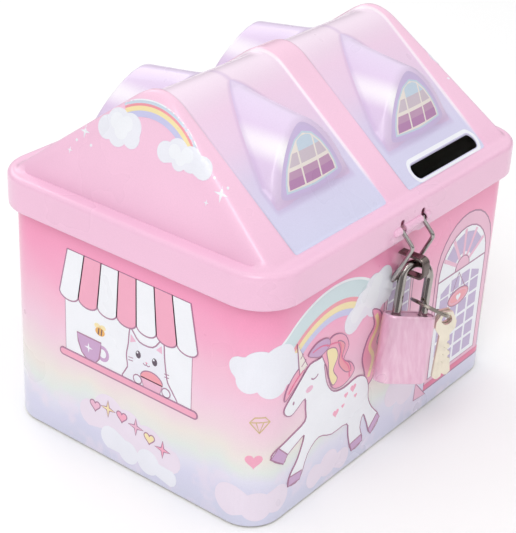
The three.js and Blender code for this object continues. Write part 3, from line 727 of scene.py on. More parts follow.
def wall_place(s, z, lift):
    """A point on the wall: s runs round it from the middle of the front, + towards +X."""
    whole = 4 * (flat_x + corner_length + flat_y)
    s = (s + whole / 2) % whole - whole / 2
    side, s = math.copysign(1, s), abs(s)
    radius = corner_radius + lift
    if s <= flat_x:
        return Vector((side * s, -half_depth - lift, z))
    s -= flat_x
    if s <= corner_length:
        turn = s / corner_radius
        return Vector((
            side * (flat_x + radius * math.sin(turn)), -flat_y - radius * math.cos(turn), z
        ))
    s -= corner_length
    if s <= 2 * flat_y:
        return Vector((side * (half_width + lift), s - flat_y, z))
    s -= 2 * flat_y
    if s <= corner_length:
        turn = s / corner_radius
        return Vector((
            side * (flat_x + radius * math.cos(turn)), flat_y + radius * math.sin(turn), z
        ))
    return Vector((side * (flat_x - s + corner_length), half_depth + lift, z))


corner_cuts = [
    side * (start + corner_length * step / 12)
    for side in (-1, 1)
    for start in (flat_x, flat_x + corner_length + 2 * flat_y)
    for step in range(13)
]
wall_cuts = [corner_cuts, []]
panel_faces = {
    "shop": (wall_place, wall_cuts, left_middle), "tale": (wall_place, wall_cuts, 0),
    "door": (wall_place, wall_cuts, 0), "right": (wall_place, wall_cuts, right_middle),
    "back": (wall_place, wall_cuts, back_middle),
}


def stamp(panel, ink, layer, outline):
    """Prints a filled outline as a thin closed plate on its panel, moved to the panel's middle."""
    place, cuts, middle = panel_faces[panel]
    loop = [Vector((middle + x, y, 0)) for x, y in outline]
    flat = bmesh.new()
    corners = [flat.verts.new(point) for point in loop]
    for triangle in tessellate_polygon([loop]):
        a, b, c = (corners[index] for index in triangle)
        area = (b.co - a.co).cross(c.co - a.co).z
        if abs(area) > 1e-5 and flat.faces.get((a, b, c)) is None:
            flat.faces.new((a, b, c) if area > 0 else (a, c, b))
    for axis, values in enumerate(cuts):
        low = min(vertex.co[axis] for vertex in flat.verts)
        high = max(vertex.co[axis] for vertex in flat.verts)
        for value in values:
            if low < value < high:
                level = Vector((value, 0, 0) if axis == 0 else (0, value, 0))
                bmesh.ops.bisect_plane(
                    flat, geom=flat.verts[:] + flat.edges[:] + flat.faces[:], dist=1e-5,
                    plane_co=level, plane_no=(1 - axis, axis, 0),
                )
    flat.verts.index_update()
    points, faces = prints.setdefault((panel, ink), ([], []))
    start, count = len(points), len(flat.verts)
    for lift in (0.02 + 0.02 * layer, -0.05):
        points += [place(vertex.co.x, vertex.co.y, lift) for vertex in flat.verts]
    torn = {
        edge for edge in flat.edges
        if (points[start + edge.verts[0].index] - points[start + edge.verts[1].index]).length
        > 5 * edge.calc_length() + 0.6
    }
    kept = [outer for outer in flat.faces if torn.isdisjoint(outer.edges)]
    for outer in kept:
        ring = [start + vertex.index for vertex in outer.verts]
        faces += [ring, [index + count for index in reversed(ring)]]
    for edge in flat.edges:
        if edge.is_boundary and edge not in torn:
            a = start + edge.link_loops[0].vert.index
            b = start + edge.link_loops[0].link_loop_next.vert.index
            faces.append([b, a, a + count, b + count])
    flat.free()


def smooth_path(points, closed=True, steps=5):
    """A rounded path through the points."""
    count, path = len(points), []
    for index in range(count if closed else count - 1):
        if closed:
            a, b, c, d = (points[(index + k) % count] for k in (-1, 0, 1, 2))
        else:
            a, b, c, d = (points[min(max(index + k, 0), count - 1)] for k in (-1, 0, 1, 2))
        for step in range(steps):
            t = step / steps
            path.append(tuple(
                0.5 * (2 * b[k] + (c[k] - a[k]) * t
                       + (2 * a[k] - 5 * b[k] + 4 * c[k] - d[k]) * t * t
                       + (3 * b[k] - a[k] - 3 * c[k] + d[k]) * t ** 3)
                for k in (0, 1)
            ))
    return path if closed else path + [points[-1]]


def edge_path(path, offset, closed):
    """The path moved sideways, to the left for a positive offset."""
    count, moved = len(path), []
    for index, (x, y) in enumerate(path):
        before = path[index - 1] if closed or index else path[index]
        after = path[(index + 1) % count] if closed or index < count - 1 else path[index]
        across = Vector((before[1] - after[1], after[0] - before[0]))
        across = across.normalized() if across.length > 1e-9 else Vector((0, 1))
        moved.append((x + across.x * offset, y + across.y * offset))
    return moved


def stroke(panel, ink, layer, path, width=0.45, closed=False):
    left, right = edge_path(path, width / 2, closed), edge_path(path, -width / 2, closed)
    if not closed:
        stamp(panel, ink, layer, left + right[::-1])
        return
    for index in range(len(path)):
        after = (index + 1) % len(path)
        stamp(panel, ink, layer, [left[index], right[index], right[after], left[after]])


def outlined(panel, ink, layer, path, width=0.45):
    stamp(panel, ink, layer, path)
    stroke(panel, "outline", layer + 1, path, width, True)


def arc_band(x, y, outer, inner, start, end, steps=26):
    outside, inside = (arc(x, y, radius, start, end + 1e-6, steps) for radius in (outer, inner))
    return outside + inside[::-1]


def cloud(*puffs):
    """The outline round overlapping discs, each given as (x, y, radius)."""
    middle = Vector((sum(puff[0] for puff in puffs), sum(puff[1] for puff in puffs))) / len(puffs)
    path = []
    for step in range(72):
        ray = Vector((math.cos(step * math.pi / 36), math.sin(step * math.pi / 36)))
        reach = 0.5
        for x, y, radius in puffs:
            offset = Vector((x, y)) - middle
            along = offset.dot(ray)
            room = radius * radius - (offset.length_squared - along * along)
            if room > 0:
                reach = max(reach, along + math.sqrt(room))
        path.append(tuple(middle + ray * reach))
    return path


def heart(x, y, size):
    turns = [step * math.pi / 12 for step in range(24)]
    return [
        (x + size * math.sin(t) ** 3,
         y + size * (13 * math.cos(t) - 5 * math.cos(2 * t) - 2 * math.cos(3 * t)
                     - math.cos(4 * t)) / 16)
        for t in reversed(turns)
    ]


def sparkle(x, y, size):
    return [
        (x + size * (1 if step % 2 == 0 else 0.26) * math.cos(step * math.pi / 4),
         y + size * (1 if step % 2 == 0 else 0.26) * math.sin(step * math.pi / 4))
        for step in range(8)
    ]


def box_path(x0, x1, z0, z1):
    return [(x0, z0), (x1, z0), (x1, z1), (x0, z1)]


def rainbow(panel, x, y, radii, colours, start, end):
    for layer, (radius, ink) in enumerate(zip(radii, colours)):
        stamp(panel, ink, layer, arc_band(x, y, radius, radii[-1], start, end))


# The shop window on the left wall: a scalloped awning, a cup, a bee and a white kitten.
shop = "shop"
outlined(shop, "white", 1, box_path(-24.4, 25.0, 31.8, 53.0))
for stripe in range(7):
    top = [-23.1 + 47.1 * (stripe + k) / 7 for k in (0, 1)]
    foot = [-26.6 + 53.5 * (stripe + k) / 7 for k in (0, 1)]
    middle = (foot[0] + foot[1]) / 2
    scallop_edge = ellipse(middle, 52.6, (foot[1] - foot[0]) / 2, 2.4, 12, 180, 360.001)
    outlined(
        shop, "white" if stripe % 2 == 0 else "soft_pink", 4,
        [*scallop_edge, (top[1], 67.4), (top[0], 67.4)],
    )
sill = ellipse(26.2, 31.6, 1.2, 1.2, 8, -90, 90.001)
sill += ellipse(-25.6, 31.6, 1.2, 1.2, 8, 90, 270.001)
outlined(shop, "soft_pink", 6, sill)
stroke(shop, "grape", 2, ellipse(-9.3, 37.2, 2.0, 2.1), 1.2, True)
outlined(shop, "grape", 3, [
    (-19.7, 40.6), (-19.2, 37.6), (-17.8, 34.4), (-15.8, 32.8), (-12.2, 32.8), (-10.8, 34.6),
    (-10.2, 37.6), (-9.9, 40.6),
])
stamp(shop, "white", 5, sparkle(-15.0, 37.0, 1.7))
stamp(shop, "orange", 3, ellipse(-10.3, 44.3, 1.9, 1.4))
for offset in (-0.7, 0.5):
    stroke(shop, "dark", 4, [(-10.3 + offset, 43.2), (-10.0 + offset, 45.4)], 0.4)
for side in (-1, 1):
    stamp(shop, "cream", 2, ellipse(-10.3 + side * 1.1, 46.0, 1.2, 0.9))
kitten = smooth_path([
    (-0.4, 32.0), (0.6, 37.0), (0.2, 41.0), (0.9, 45.0), (1.4, 49.8), (2.4, 50.2), (5.2, 47.3),
    (10.3, 47.5), (13.4, 51.0), (14.5, 50.6), (14.8, 46.0), (15.4, 41.5), (16.2, 38.0),
    (18.4, 35.0), (18.6, 32.0),
], steps=3)
outlined(shop, "cloud", 2, kitten)
for ear in ([(1.9, 48.6), (1.7, 45.8), (3.9, 46.9)], [(13.7, 49.4), (13.9, 46.8), (11.6, 47.3)]):
    stamp(shop, "frame_pink", 3, ear)
for u in (4.8, 11.1):
    stamp(shop, "dark", 4, ellipse(u, 42.9, 1.0, 1.3, 12))
    stamp(shop, "white", 5, ellipse(u - 0.3, 43.5, 0.35, 0.35, 8))
stamp(shop, "deep_pink", 4, [(7.5, 41.5), (8.0, 41.0), (8.5, 41.5)])
for end in (-1, 1):
    mouth = ellipse(8.0 + end * 0.6, 40.9, 0.6, 0.5, 6, 180, 360.001)
    stroke(shop, "outline", 4, mouth, 0.3)
for u, z in ((1.0, 40.6), (1.0, 39.6), (14.8, 40.6), (14.8, 39.6)):
    stroke(shop, "outline", 4, [(u, z), (u + 1.8, z + 0.2)], 0.25)
bun = ellipse(10.0, 36.0, 4.3, 3.0, 12, 0, 180.001)
outlined(shop, "rose", 4, bun, 0.35)
outlined(shop, "frame_pink", 4, [(5.9, 36), (7.0, 32.8), (13.2, 32.8), (14.1, 36)], 0.35)
for u in (4.6, 15.6):
    outlined(shop, "cloud", 6, ellipse(u, 34.4, 1.6, 1.5, 12), 0.35)

# Under the window: a soft bank of cloud with hearts and stars on it.
bank = cloud((-14, 14, 5), (-7, 17.5, 6), (1, 15.5, 6), (9, 13.5, 6), (17, 11.5, 4.6), (4, 10, 5))
stamp(shop, "haze", 1, bank)
low_bank = cloud((-6, 8.5, 4.2), (1, 6.5, 4), (9, 6.8, 4.4), (17, 5.2, 3.2))
stamp(shop, "cloud", 2, low_bank)
charms = [(-12.5, 17.6), (-7.2, 18.6), (-1.6, 18.3), (4.0, 17.2), (9.4, 15.6), (14.6, 14.0)]
for index, (u, z) in enumerate(charms):
    shape = heart(u, z, 2.1) if index % 2 == 0 else sparkle(u, z, 3.0)
    outlined(shop, ("frame_pink", "cream", "soft_pink")[index % 3], 3, shape, 0.35)

# The front: a rainbow between two clouds and a leaping unicorn.
tale = "tale"
arch_inks = ["white", "mint", "rose", "cream", "bluebell"]
rainbow(tale, -34, 36.2, [34.0, 33.2, 28.0, 26.6, 24.5, 22.4], arch_inks, 52, 141)
stamp(tale, "cloud", 7, cloud(
    (-68.5, 54.0, 3.6), (-63, 55.0, 5.0), (-57, 55.5, 5.6), (-52, 51.5, 4.6), (-59, 49.5, 5.2),
    (-66, 50.0, 3.8),
))
stamp(tale, "cloud", 7, cloud(
    (-8.5, 62.0, 4.2), (-13.5, 61.0, 4.6), (-18.0, 57.5, 5.0), (-23.2, 54.0, 4.2),
    (-12.0, 55.5, 4.6), (-7.0, 57.0, 3.8),
))
stamp(tale, "white", 8, cloud((-12, 62.5, 2.6), (-17, 59.5, 3.0), (-22, 55.5, 2.6), (-14, 58, 3.4)))
unicorn = smooth_path([
    (-54.6, 39.3), (-54.0, 36.8), (-51.2, 35.4), (-48.2, 36.6), (-45.0, 38.0), (-44.3, 34.0),
    (-44.2, 29.8), (-51.0, 27.9), (-56.6, 26.4), (-58.4, 23.6), (-53.6, 20.2), (-52.0, 22.2),
    (-47.2, 24.2), (-44.0, 24.8), (-46.6, 18.0), (-49.8, 14.0), (-50.4, 10.4), (-45.0, 10.2),
    (-41.8, 17.2), (-36.6, 20.4), (-30.0, 18.0), (-22.0, 17.6), (-20.6, 12.6), (-18.0, 5.8),
    (-12.6, 6.8), (-14.4, 12.4), (-13.2, 16.6), (-10.8, 12.4), (-8.0, 7.0), (-3.8, 11.0),
    (-8.8, 17.2), (-11.2, 21.6), (-11.8, 26.4), (-14.0, 30.6), (-18.4, 32.6), (-25.0, 32.0),
    (-30.5, 33.4), (-34.2, 37.6), (-36.0, 43.0), (-36.4, 46.4), (-34.2, 50.4), (-38.6, 48.6),
    (-43.4, 48.8), (-47.0, 46.2), (-50.8, 42.8),
], steps=3)
tail_hair = smooth_path([
    (-12.6, 26.6), (-8.4, 29.8), (-6.2, 35.4), (-9.2, 40.8), (-6.8, 46.0), (-8.6, 51.0),
    (-13.2, 53.4), (-11.4, 47.6), (-14.6, 43.6), (-16.4, 38.0), (-14.4, 32.0),
], steps=4)
outlined(tale, "soft_pink", 9, tail_hair)
stroke(tale, "cream", 10, smooth_path(
    [(-12.2, 29.6), (-10.6, 36), (-13.0, 41), (-9.6, 46.6), (-11.0, 51)], False), 1.5)
outlined(tale, "white", 11, unicorn, 0.36)
outlined(tale, "ivory", 17, [(-50.6, 58.6), (-48.6, 47.6), (-45.2, 49.4)], 0.34)
for low, high in (((-48.1, 50.2), (-46.0, 51.6)), ((-48.8, 53.0), (-47.6, 54.2))):
    stroke(tale, "outline", 19, [low, high], 0.3)
for hoof in (
    [(-56.2, 26.7), (-58.6, 23.6), (-53.7, 20.0), (-51.9, 22.4)],
    [(-50.2, 13.4), (-50.6, 10.3), (-45.0, 10.0), (-44.2, 12.8)],
    [(-19.1, 8.6), (-18.1, 5.6), (-12.5, 6.6), (-13.5, 9.2)],
    [(-9.5, 9.2), (-8.0, 6.8), (-3.6, 11.0), (-5.4, 13.0)],
):
    outlined(tale, "grape", 13, hoof)
manes = [
    (13, "soft_pink", [
        (-38, 50.4), (-33, 53.4), (-27.4, 51.4), (-24.6, 46.6), (-26.6, 42.6), (-22.4, 39.6),
        (-20.6, 35.8), (-25.4, 33.4), (-30.8, 34.6), (-33.6, 39.4), (-35.2, 44), (-37, 47),
    ]),
    (15, "cream", [
        (-35.8, 49.8), (-31.6, 48.8), (-30.0, 45.2), (-31.8, 41.4), (-29.4, 37.6),
        (-31.4, 36.0), (-33.8, 40.0), (-34.6, 45.0),
    ]),
    (17, "rose", [
        (-30.4, 50.6), (-26.8, 48.0), (-27.6, 43.6), (-23.8, 40.2), (-22.6, 37.0),
        (-25.6, 38.0), (-29.2, 42.4), (-29.0, 47.0),
    ]),
    (13, "soft_pink", [
        (-46.4, 48.2), (-49.0, 45.4), (-52.2, 43.2), (-54.8, 41.8), (-54.4, 45.0),
        (-51.6, 48.4), (-48.4, 50.0),
    ]),
    (15, "grape", [
        (-38.6, 49.4), (-42.0, 50.4), (-44.8, 52.4), (-40.6, 54.6), (-35.6, 53.8), (-34.6, 51.0),
    ]),
]
for layer, ink, path in manes:
    outlined(tale, ink, layer, smooth_path(path, steps=4), 0.32)
for path in (
    [(-36, 51.4), (-29.6, 49.6), (-28, 44), (-24, 39), (-23, 35)],
    [(-47, 48.6), (-50.4, 46.4), (-53.4, 43.6)], [(-43, 52.4), (-39, 52.6), (-35.6, 51.6)],
):
    stroke(tale, "deep_pink", 19, smooth_path(path, False), 0.4)
eyelid = ellipse(-41.0, 44.2, 1.7, 1.3, 8, 200, 340)
stroke(tale, "outline", 13, eyelid, 0.45)
stamp(tale, "outline", 13, ellipse(-50.6, 39.2, 0.45, 0.6, 10))
stamp(tale, "frame_pink", 13, ellipse(-43.2, 40.4, 1.7, 1.0, 12))
for x, z, size in ((-28.6, 24.8, 1.5), (-23.8, 28.8, 1.0), (-20.2, 29.6, 1.5), (-25.0, 25.6, 0.8),
                   (-18.6, 26.2, 0.8)):
    stamp(tale, "soft_pink", 13, heart(x, z, size))
stamp(tale, "soft_pink", 2, heart(-63.5, 23.7, 2.6))
gem = [(-65.2, 36.8), (-63.8, 38.4), (-60.8, 38.4), (-59.4, 36.8), (-62.3, 33.2)]
stroke(tale, "gold", 3, gem, 0.4, True)
stroke(tale, "gold", 3, [(-65.2, 36.8), (-63.2, 36.8), (-61.4, 36.8), (-59.4, 36.8)], 0.3)
stroke(tale, "gold", 3, [(-63.4, 36.8), (-62.3, 33.4), (-61.2, 36.8)], 0.3)
stamp(tale, "haze", 1, cloud((-70, 9, 5.5), (-62, 7.5, 5), (-55, 8.5, 4.6)))
stamp(tale, "haze", 1, cloud((-30, 7.5, 4.5), (-37, 6.5, 4), (-23, 5.5, 3.6)))
stamp(tale, "haze", 1, cloud((4, 16, 5), (10, 20, 5.6), (17, 19, 5), (11, 13.5, 5)))
outlined(tale, "frame_pink", 2, [(16.9, 6.4), (24.0, 5.6), (17.2, 12.8)], 0.4)


# The door and the small window beside it, arched and glazed in lilac panes.
def arched(x, half, foot, spring, steps=14):
    return [(x - half, foot), (x + half, foot)] + ellipse(x, spring, half, half, steps, 0, 180.001)


outlined("door", "frame_pink", 1, arched(39.2, 16.6, 9.4, 49.5), 0.5)
outlined("door", "white", 3, arched(38.7, 14.3, 11.0, 47.0), 0.45)
for column in range(4):
    for row in range(5):
        x, z = 29.3 + 6.15 * column, 15.0 + 5.5 * row
        stamp("door", "pane", 5, box_path(x - 2.45, x + 2.45, z - 2.2, z + 2.2))
    x = 29.3 + 6.15 * column
    crown = (0.6, 3.2, 3.2, 0.6)[column]
    lean = (1, 0, 0, -1)[column]
    stamp("door", "pane", 5, [
        (x - 2.45, 39.9), (x + 2.45, 39.9), (x + 2.45, 41.0 + crown + max(lean, 0) * 2),
        (x - 2.45, 41.0 + crown + max(-lean, 0) * 2),
    ])
stroke("door", "outline", 6, [(24.6, 46.6), (52.8, 46.6)], 0.5)
stamp("door", "frame_pink", 6, ellipse(38.6, 46.8, 4.2, 4.2, 12, 0, 180.001))
stroke("door", "outline", 7, ellipse(38.6, 46.8, 4.2, 4.2, 12, 0, 180.001), 0.4)
for step in range(5):
    turn = math.radians(30 + 30 * step)
    stroke("door", "frame_pink", 6, [
        (38.6 + reach * math.cos(turn), 46.8 + reach * math.sin(turn)) for reach in (4.2, 13.8)
    ], 1.3)
    if step < 4:
        wedge = [
            (38.6 + reach * math.cos(math.radians(30 + 30 * step + angle)),
             46.8 + reach * math.sin(math.radians(30 + 30 * step + angle)))
            for reach, angle in ((5.6, 5), (12.6, 4), (12.6, 26), (5.6, 25))
        ]
        stamp("door", "pane", 5, wedge)
stamp("door", "deep_pink", 5, [(22.6, 9.5), (22.6, 7.4), (56.6, 7.4), (56.6, 9.5)][::-1])
stroke("door", "outline", 6, [(22.4, 7.3), (56.8, 7.3)], 0.5)
stroke("door", "outline", 7, [(34.0, 38.4), (37.1, 45.6), (42.2, 38.4)], 0.3)
outlined("door", "rose", 8, ellipse(38.2, 36.4, 6.2, 2.9, 20), 0.4)
stroke("door", "frame_pink", 10, ellipse(38.2, 36.4, 5.2, 2.1, 20), 0.3, True)
stamp("door", "white", 10, heart(38.2, 36.2, 1.4))
outlined("door", "frame_pink", 1, arched(1.0, 7.6, 42.0, 55.0), 0.45)
outlined("door", "cloud", 3, arched(1.0, 6.2, 43.2, 54.8), 0.4)
for column in range(3):
    for row in range(4):
        x, z = -3.0 + 4.0 * column, 46.0 + 4.0 * row
        stamp("door", "pane", 5, box_path(x - 1.6, x + 1.6, z - 1.6, z + 1.6))

# The right and back walls carry the same theme: a rainbow on two clouds, with hearts and stars.
for panel, reach in (("right", 22.0), ("back", 26.0)):
    radii = [reach - step for step in (0, 0.8, 4.0, 5.4, 7.4, 9.4)]
    rainbow(panel, 0, 30, radii, arch_inks, 0, 180)
    for side in (-1, 1):
        base = side * (reach - 4.5)
        stamp(panel, "cloud", 7, cloud(
            (base - 7, 28, 4), (base - 2.5, 31, 4.8), (base + 3.5, 30.5, 4.8),
            (base + 7.5, 27.5, 3.8), (base, 26, 4.6),
        ))
    for x, z, size in ((-16, 12, 2.2), (-4, 17, 2.6), (9, 11, 2.2), (20, 16, 1.8)):
        stamp(panel, "soft_pink", 2, heart(x, z, size))
    for x, z, size in ((-9, 58, 3.0), (12, 61, 2.4), (-26, 52, 2.0), (26, 54, 2.4), (0, 44, 2.4)):
        stamp(panel, "white", 2, sparkle(x, z, size))

# ---------------------------------------------------------------- roof artwork
# Printed on the same tin as the lid: a rainbow and clouds on each gable, an arched window on each
# dormer and a white line round the coin slot. It follows the drawn metal.


def pressed(aim, flat_point):
    """Places print on the lid by pressing flat_point(a, b) on along aim."""
    def place(a, b, lift):
        start = flat_point(a, b)
        hit, normal, _, _ = lid_surface.ray_cast(start - aim * 60, aim)
        if hit is None:
            hit, normal, _, _ = lid_surface.find_nearest(start)
        if normal.dot(aim) > 0:
            normal = -normal
        return hit + normal * lift
    return place


def spread_cuts(low, high, spacing):
    return list(np.arange(low, high, spacing))


gable_cuts = [spread_cuts(-50, 50, 1.7), spread_cuts(84, 120, 1.7)]
for side in (-1, 1):
    gable = f"gable_{'left' if side < 0 else 'right'}"
    lean = Vector((-side * 0.703, 0.526, -0.478)).normalized()
    panel_faces[gable] = (pressed(lean, lambda u, z, side=side: Vector((
        side * (foot_x - (z - ledge) / gable_rise), -u, z
    ))), gable_cuts, 0)
    rainbow(gable, 1.0, 95.3, [21.9, 21.5, 20.7, 20.0, 18.7, 17.0],
            ["white", "haze_blue", "rose", "cream", "bluebell"], 34, 120)
    for ink, layer, puffs in (
        ("cloud", 7, [(-14.2, 106.0, 3.4), (-10.4, 108.2, 4.2), (-6.0, 108.0, 4.0),
                      (-10.0, 105.0, 3.4), (-5.0, 105.4, 3.0)]),
        ("cloud", 7, [(7.6, 105.2, 3.0), (11.6, 106.4, 3.6), (16.4, 105.6, 3.6),
                      (20.8, 104.6, 3.2), (12.6, 103.8, 2.4)]),
        ("white", 8, [(-11, 108.6, 2.4), (-7.4, 108.6, 2.2), (-9, 106.4, 2.4)]),
        ("white", 8, [(10.6, 106.2, 2), (15.0, 106.4, 2.1), (13, 104.8, 1.8)]),
    ):
        stamp(gable, ink, layer, cloud(*puffs))
    for u, z, size in (
        (-22.1, 102.6, 2.0), (28.2, 99.9, 2.4), (-26.5, 96.0, 1.0), (24.0, 96.2, 0.9)
    ):
        stamp(gable, "white", 2, sparkle(u, z, size))
    for u, z in ((25.1, 103.4), (29.9, 102.2), (-19.0, 99.4), (-24.6, 99.4)):
        stamp(gable, "white", 2, ellipse(u, z, 0.45, 0.45, 8))

dormer_levels = spread_cuts(88, 114, 1.2)
half_frame = [(-12.8, 94.6), (-12.4, 97.5), (-10.6, 101.2), (-7.8, 105.0), (-4.2, 108.4)]
window_frame = smooth_path(
    [(0, 93.4), (-6, 93.7), *half_frame, (0, 110.2)]
    + [(-x, z) for x, z in reversed(half_frame)] + [(6, 93.7)], steps=4,
)[::-1]
half_glass = [(-11.2, 95.4), (-10.9, 97.4), (-9.4, 100.8), (-6.9, 104.2), (-3.7, 107.0)]
window_glass = [(0, 94.9), *half_glass, (0, 108.2)] + [(-x, z) for x, z in reversed(half_glass)]
window_glass = window_glass[::-1]


def glass_half_width(z):
    """Half the width of the dormer's glass at a height."""
    levels = [point[1] for point in half_glass] + [108.2]
    halves = [-point[0] for point in half_glass] + [0.0]
    return float(np.interp(z, levels, halves))


def window_pane(x0, x1, z0, z1):
    """A pane, cut off where the arch of the glass crosses it."""
    edge = [
        (x, z) for x, z in [(x0, z0), (x1, z0)] +
        [(x1, z0 + (z1 - z0) * k / 6) for k in range(1, 7)] +
        [(x0, z1 - (z1 - z0) * k / 6) for k in range(6)]
    ]
    room = 0.7
    return [
        (math.copysign(min(abs(x), max(glass_half_width(z) - room, 0.05)), x), z) for x, z in edge
    ]


for side_x in (-1, 1):
    for side_y in (-1, 1):
        window = f"dormer_{'west' if side_x < 0 else 'east'}_{'front' if side_y < 0 else 'back'}"
        shift = dormer_x * side_x * -side_y
        press = pressed(Vector((0, -side_y, 0)), lambda a, b, side_y=side_y: Vector((
            -side_y * a, side_y * 45, b
        )))
        dormer_spread = [shift + value for value in spread_cuts(-14, 14, 1.2)]
        panel_faces[window] = (press, [dormer_spread, dormer_levels], shift)
        # Painted shadow: a violet copy of the window frame, a little larger, laid under the frame.
        shadow = [(x * 1.07, 101.5 + (z - 101.5) * 1.09) for x, z in window_frame]
        rim = [(x * 1.07, 101.3 + (z - 101.3) * 1.08) for x, z in window_glass]
        for layer, ink, path in (
            (0, "violet", shadow), (1, "lilac", window_frame), (2, "haze_blue", rim),
            (3, "ivory", window_glass),
        ):
            stamp(window, ink, layer, path)
        for x0, x1 in ((-11.0, -4.1), (-3.4, 3.4), (4.1, 11.0)):
            for ink, z0, z1 in (("plum_low", 95.6, 98.0), ("plum", 98.0, 100.0),
                                ("glass", 101.0, 104.2)):
                stamp(window, ink, 4, window_pane(x0, x1, z0, z1))
        for x0, x1 in ((-7.0, -4.1), (-3.4, 3.4), (4.1, 7.0)):
            stamp(window, "haze_blue", 4, window_pane(x0, x1, 104.2, 107.6))

panel_faces["slot"] = (
    pressed(Vector((0, 0, -1)), lambda x, y: Vector((x, y, 100))),
    [spread_cuts(10, 50, 1.5), spread_cuts(-50, -38, 0.7)], 0,
)
outer_line = [(x, y) for x, y, z in slot_ring(1.3, 0)]
inner_line = [(x, y) for x, y, z in slot_ring(0.25, 0)]
for index in range(len(outer_line)):
    after = (index + 1) % len(outer_line)
    stamp("slot", "white", 1, [
        outer_line[index], outer_line[after], inner_line[after], inner_line[index]
    ])


def ink_paint(shade):
    def paint(tree):
        point = place_in_mm(tree)[0]
        cloudy = noise(tree, point, 0.12, 2.0)
        deeper = tuple(channel * 0.97 for channel in shade)
        return blend_colour(tree, cloudy, srgb(*shade), srgb(*deeper))
    return paint


ink_materials = {
    ink: litho_material(f"ink_{ink}", ink_paint(shade), grain=0.6) for ink, shade in inks.items()
}
on_lid = ("gable", "dormer", "slot")
for (panel, ink), (points, faces) in prints.items():
    mesh = bpy.data.meshes.new(f"{panel}_print_{ink}")
    mesh.from_pydata([point * MM for point in points], [], faces)
    part = "lid" if panel.startswith(on_lid) else "box"
    mesh.materials.append(ink_materials[ink])
    piece = add_object(mesh.name, mesh)
    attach(piece, part)

# ---------------------------------------------------------------- hinges
# Two hinges of bent tinplate. Each leaf is fixed flat to the back wall and curled round both ends
# of its own short steel pin, and a tab of the lid turns on the middle.


hinge_tin = bare_metal("hinge_tin", srgb(205, 203, 200), 0.28, grain=(900.0, 60.0, 60.0), wear=0.6)
pin_steel = bare_metal("pin_steel", srgb(188, 188, 190), 0.22, grain=(60.0, 900.0, 900.0), wear=0.8)
for hand in ("left", "right"):
    finish_node(f"hinge_leaf_{hand}", hinge_tin)
    finish_node(f"hinge_pin_{hand}", pin_steel)

# The lid's tabs come down behind the body and are printed like the lid.
pin_low, pin_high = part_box("hinge_pin_left")
hinge_y = (pin_low.y + pin_high.y) / 2 / MM
hinge_z = (pin_low.z + pin_high.z) / 2 / MM
curl, tab_half = 1.4, 4.0
tab_path = [
    (lid_half_y - sheet / 2, skirt_bottom + 2.0), (lid_half_y - sheet / 2, skirt_bottom + 0.6),
    (hinge_y + curl, hinge_z + 1.2), *arc(hinge_y, hinge_z, curl, 0, -290, 20),
]
tab_edges = edge_path(tab_path, sheet / 2, False) + edge_path(tab_path, -sheet / 2, False)[::-1]
hinge_half_spacing = 32.0
for hand, middle in (("left", -hinge_half_spacing), ("right", hinge_half_spacing)):
    rings = [[(middle + x, y, z) for y, z in tab_edges] for x in (-tab_half, tab_half)]
    add_piece(
        f"lid_tab_{hand}", loft(f"lid_tab_{hand}", rings), roof_print, "lid", sharp=40
    )

# ---------------------------------------------------------------- bail and staple
# A spring-wire bail turned into the skirt's channel and a bent strip staple clinched through the
# wall: together they take the padlock. Both are bright plated steel.


def bent_path(points, bend, steps=6):
    """The corners of a path through space, rounded."""
    points = [Vector(point) for point in points]
    path = [points[0]]
    for before, corner, after in zip(points, points[1:], points[2:]):
        start = corner + (before - corner).normalized() * bend
        end = corner + (after - corner).normalized() * bend
        for step in range(steps + 1):
            t = step / steps
            path.append(start * (1 - t) ** 2 + corner * 2 * t * (1 - t) + end * t * t)
    return path + [points[-1]]


def tube_rings(path, radius, sides=16):
    """Round sections along a path, each turned from the one before it without a twist."""
    rings, across = [], None
    for index, point in enumerate(path):
        before = path[max(index - 1, 0)]
        after = path[min(index + 1, len(path) - 1)]
        along = (after - before).normalized()
        if across is None:
            across = along.orthogonal().normalized()
        across = (across - along * across.dot(along)).normalized()
        other = along.cross(across)
        rings.append([
            point + (across * math.cos(2 * math.pi * side / sides)
                     + other * math.sin(2 * math.pi * side / sides)) * radius
            for side in range(sides)
        ])
    return rings


bail_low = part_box("latch_bail")[0]
bail_foot = bail_low.z / MM + bail_wire
bail_knee = bail_low.y / MM + bail_wire
bail_bar_y = -half_depth - 1.05
bail_legs = [
    (side * place[0], *place[1:])
    for side, places in ((-1, 1), (1, -1))
    for place in [
        (8.5, bail_y, bail_z), (bail_half_span, bail_y, bail_z),
        (bail_half_span, bail_knee, bail_z - 4.4), (bail_half_span, bail_bar_y, bail_foot),
    ][::places]
]
even_grain = (300.0, 300.0, 300.0)
bright_wire = bare_metal("bright_wire", srgb(176, 172, 170), 0.12, grain=even_grain)
add_piece(
    "wire_bail", loft("wire_bail", tube_rings(bent_path(bail_legs, 1.0), bail_wire)),
    bright_wire, "bail", ["latch_bail"],
)

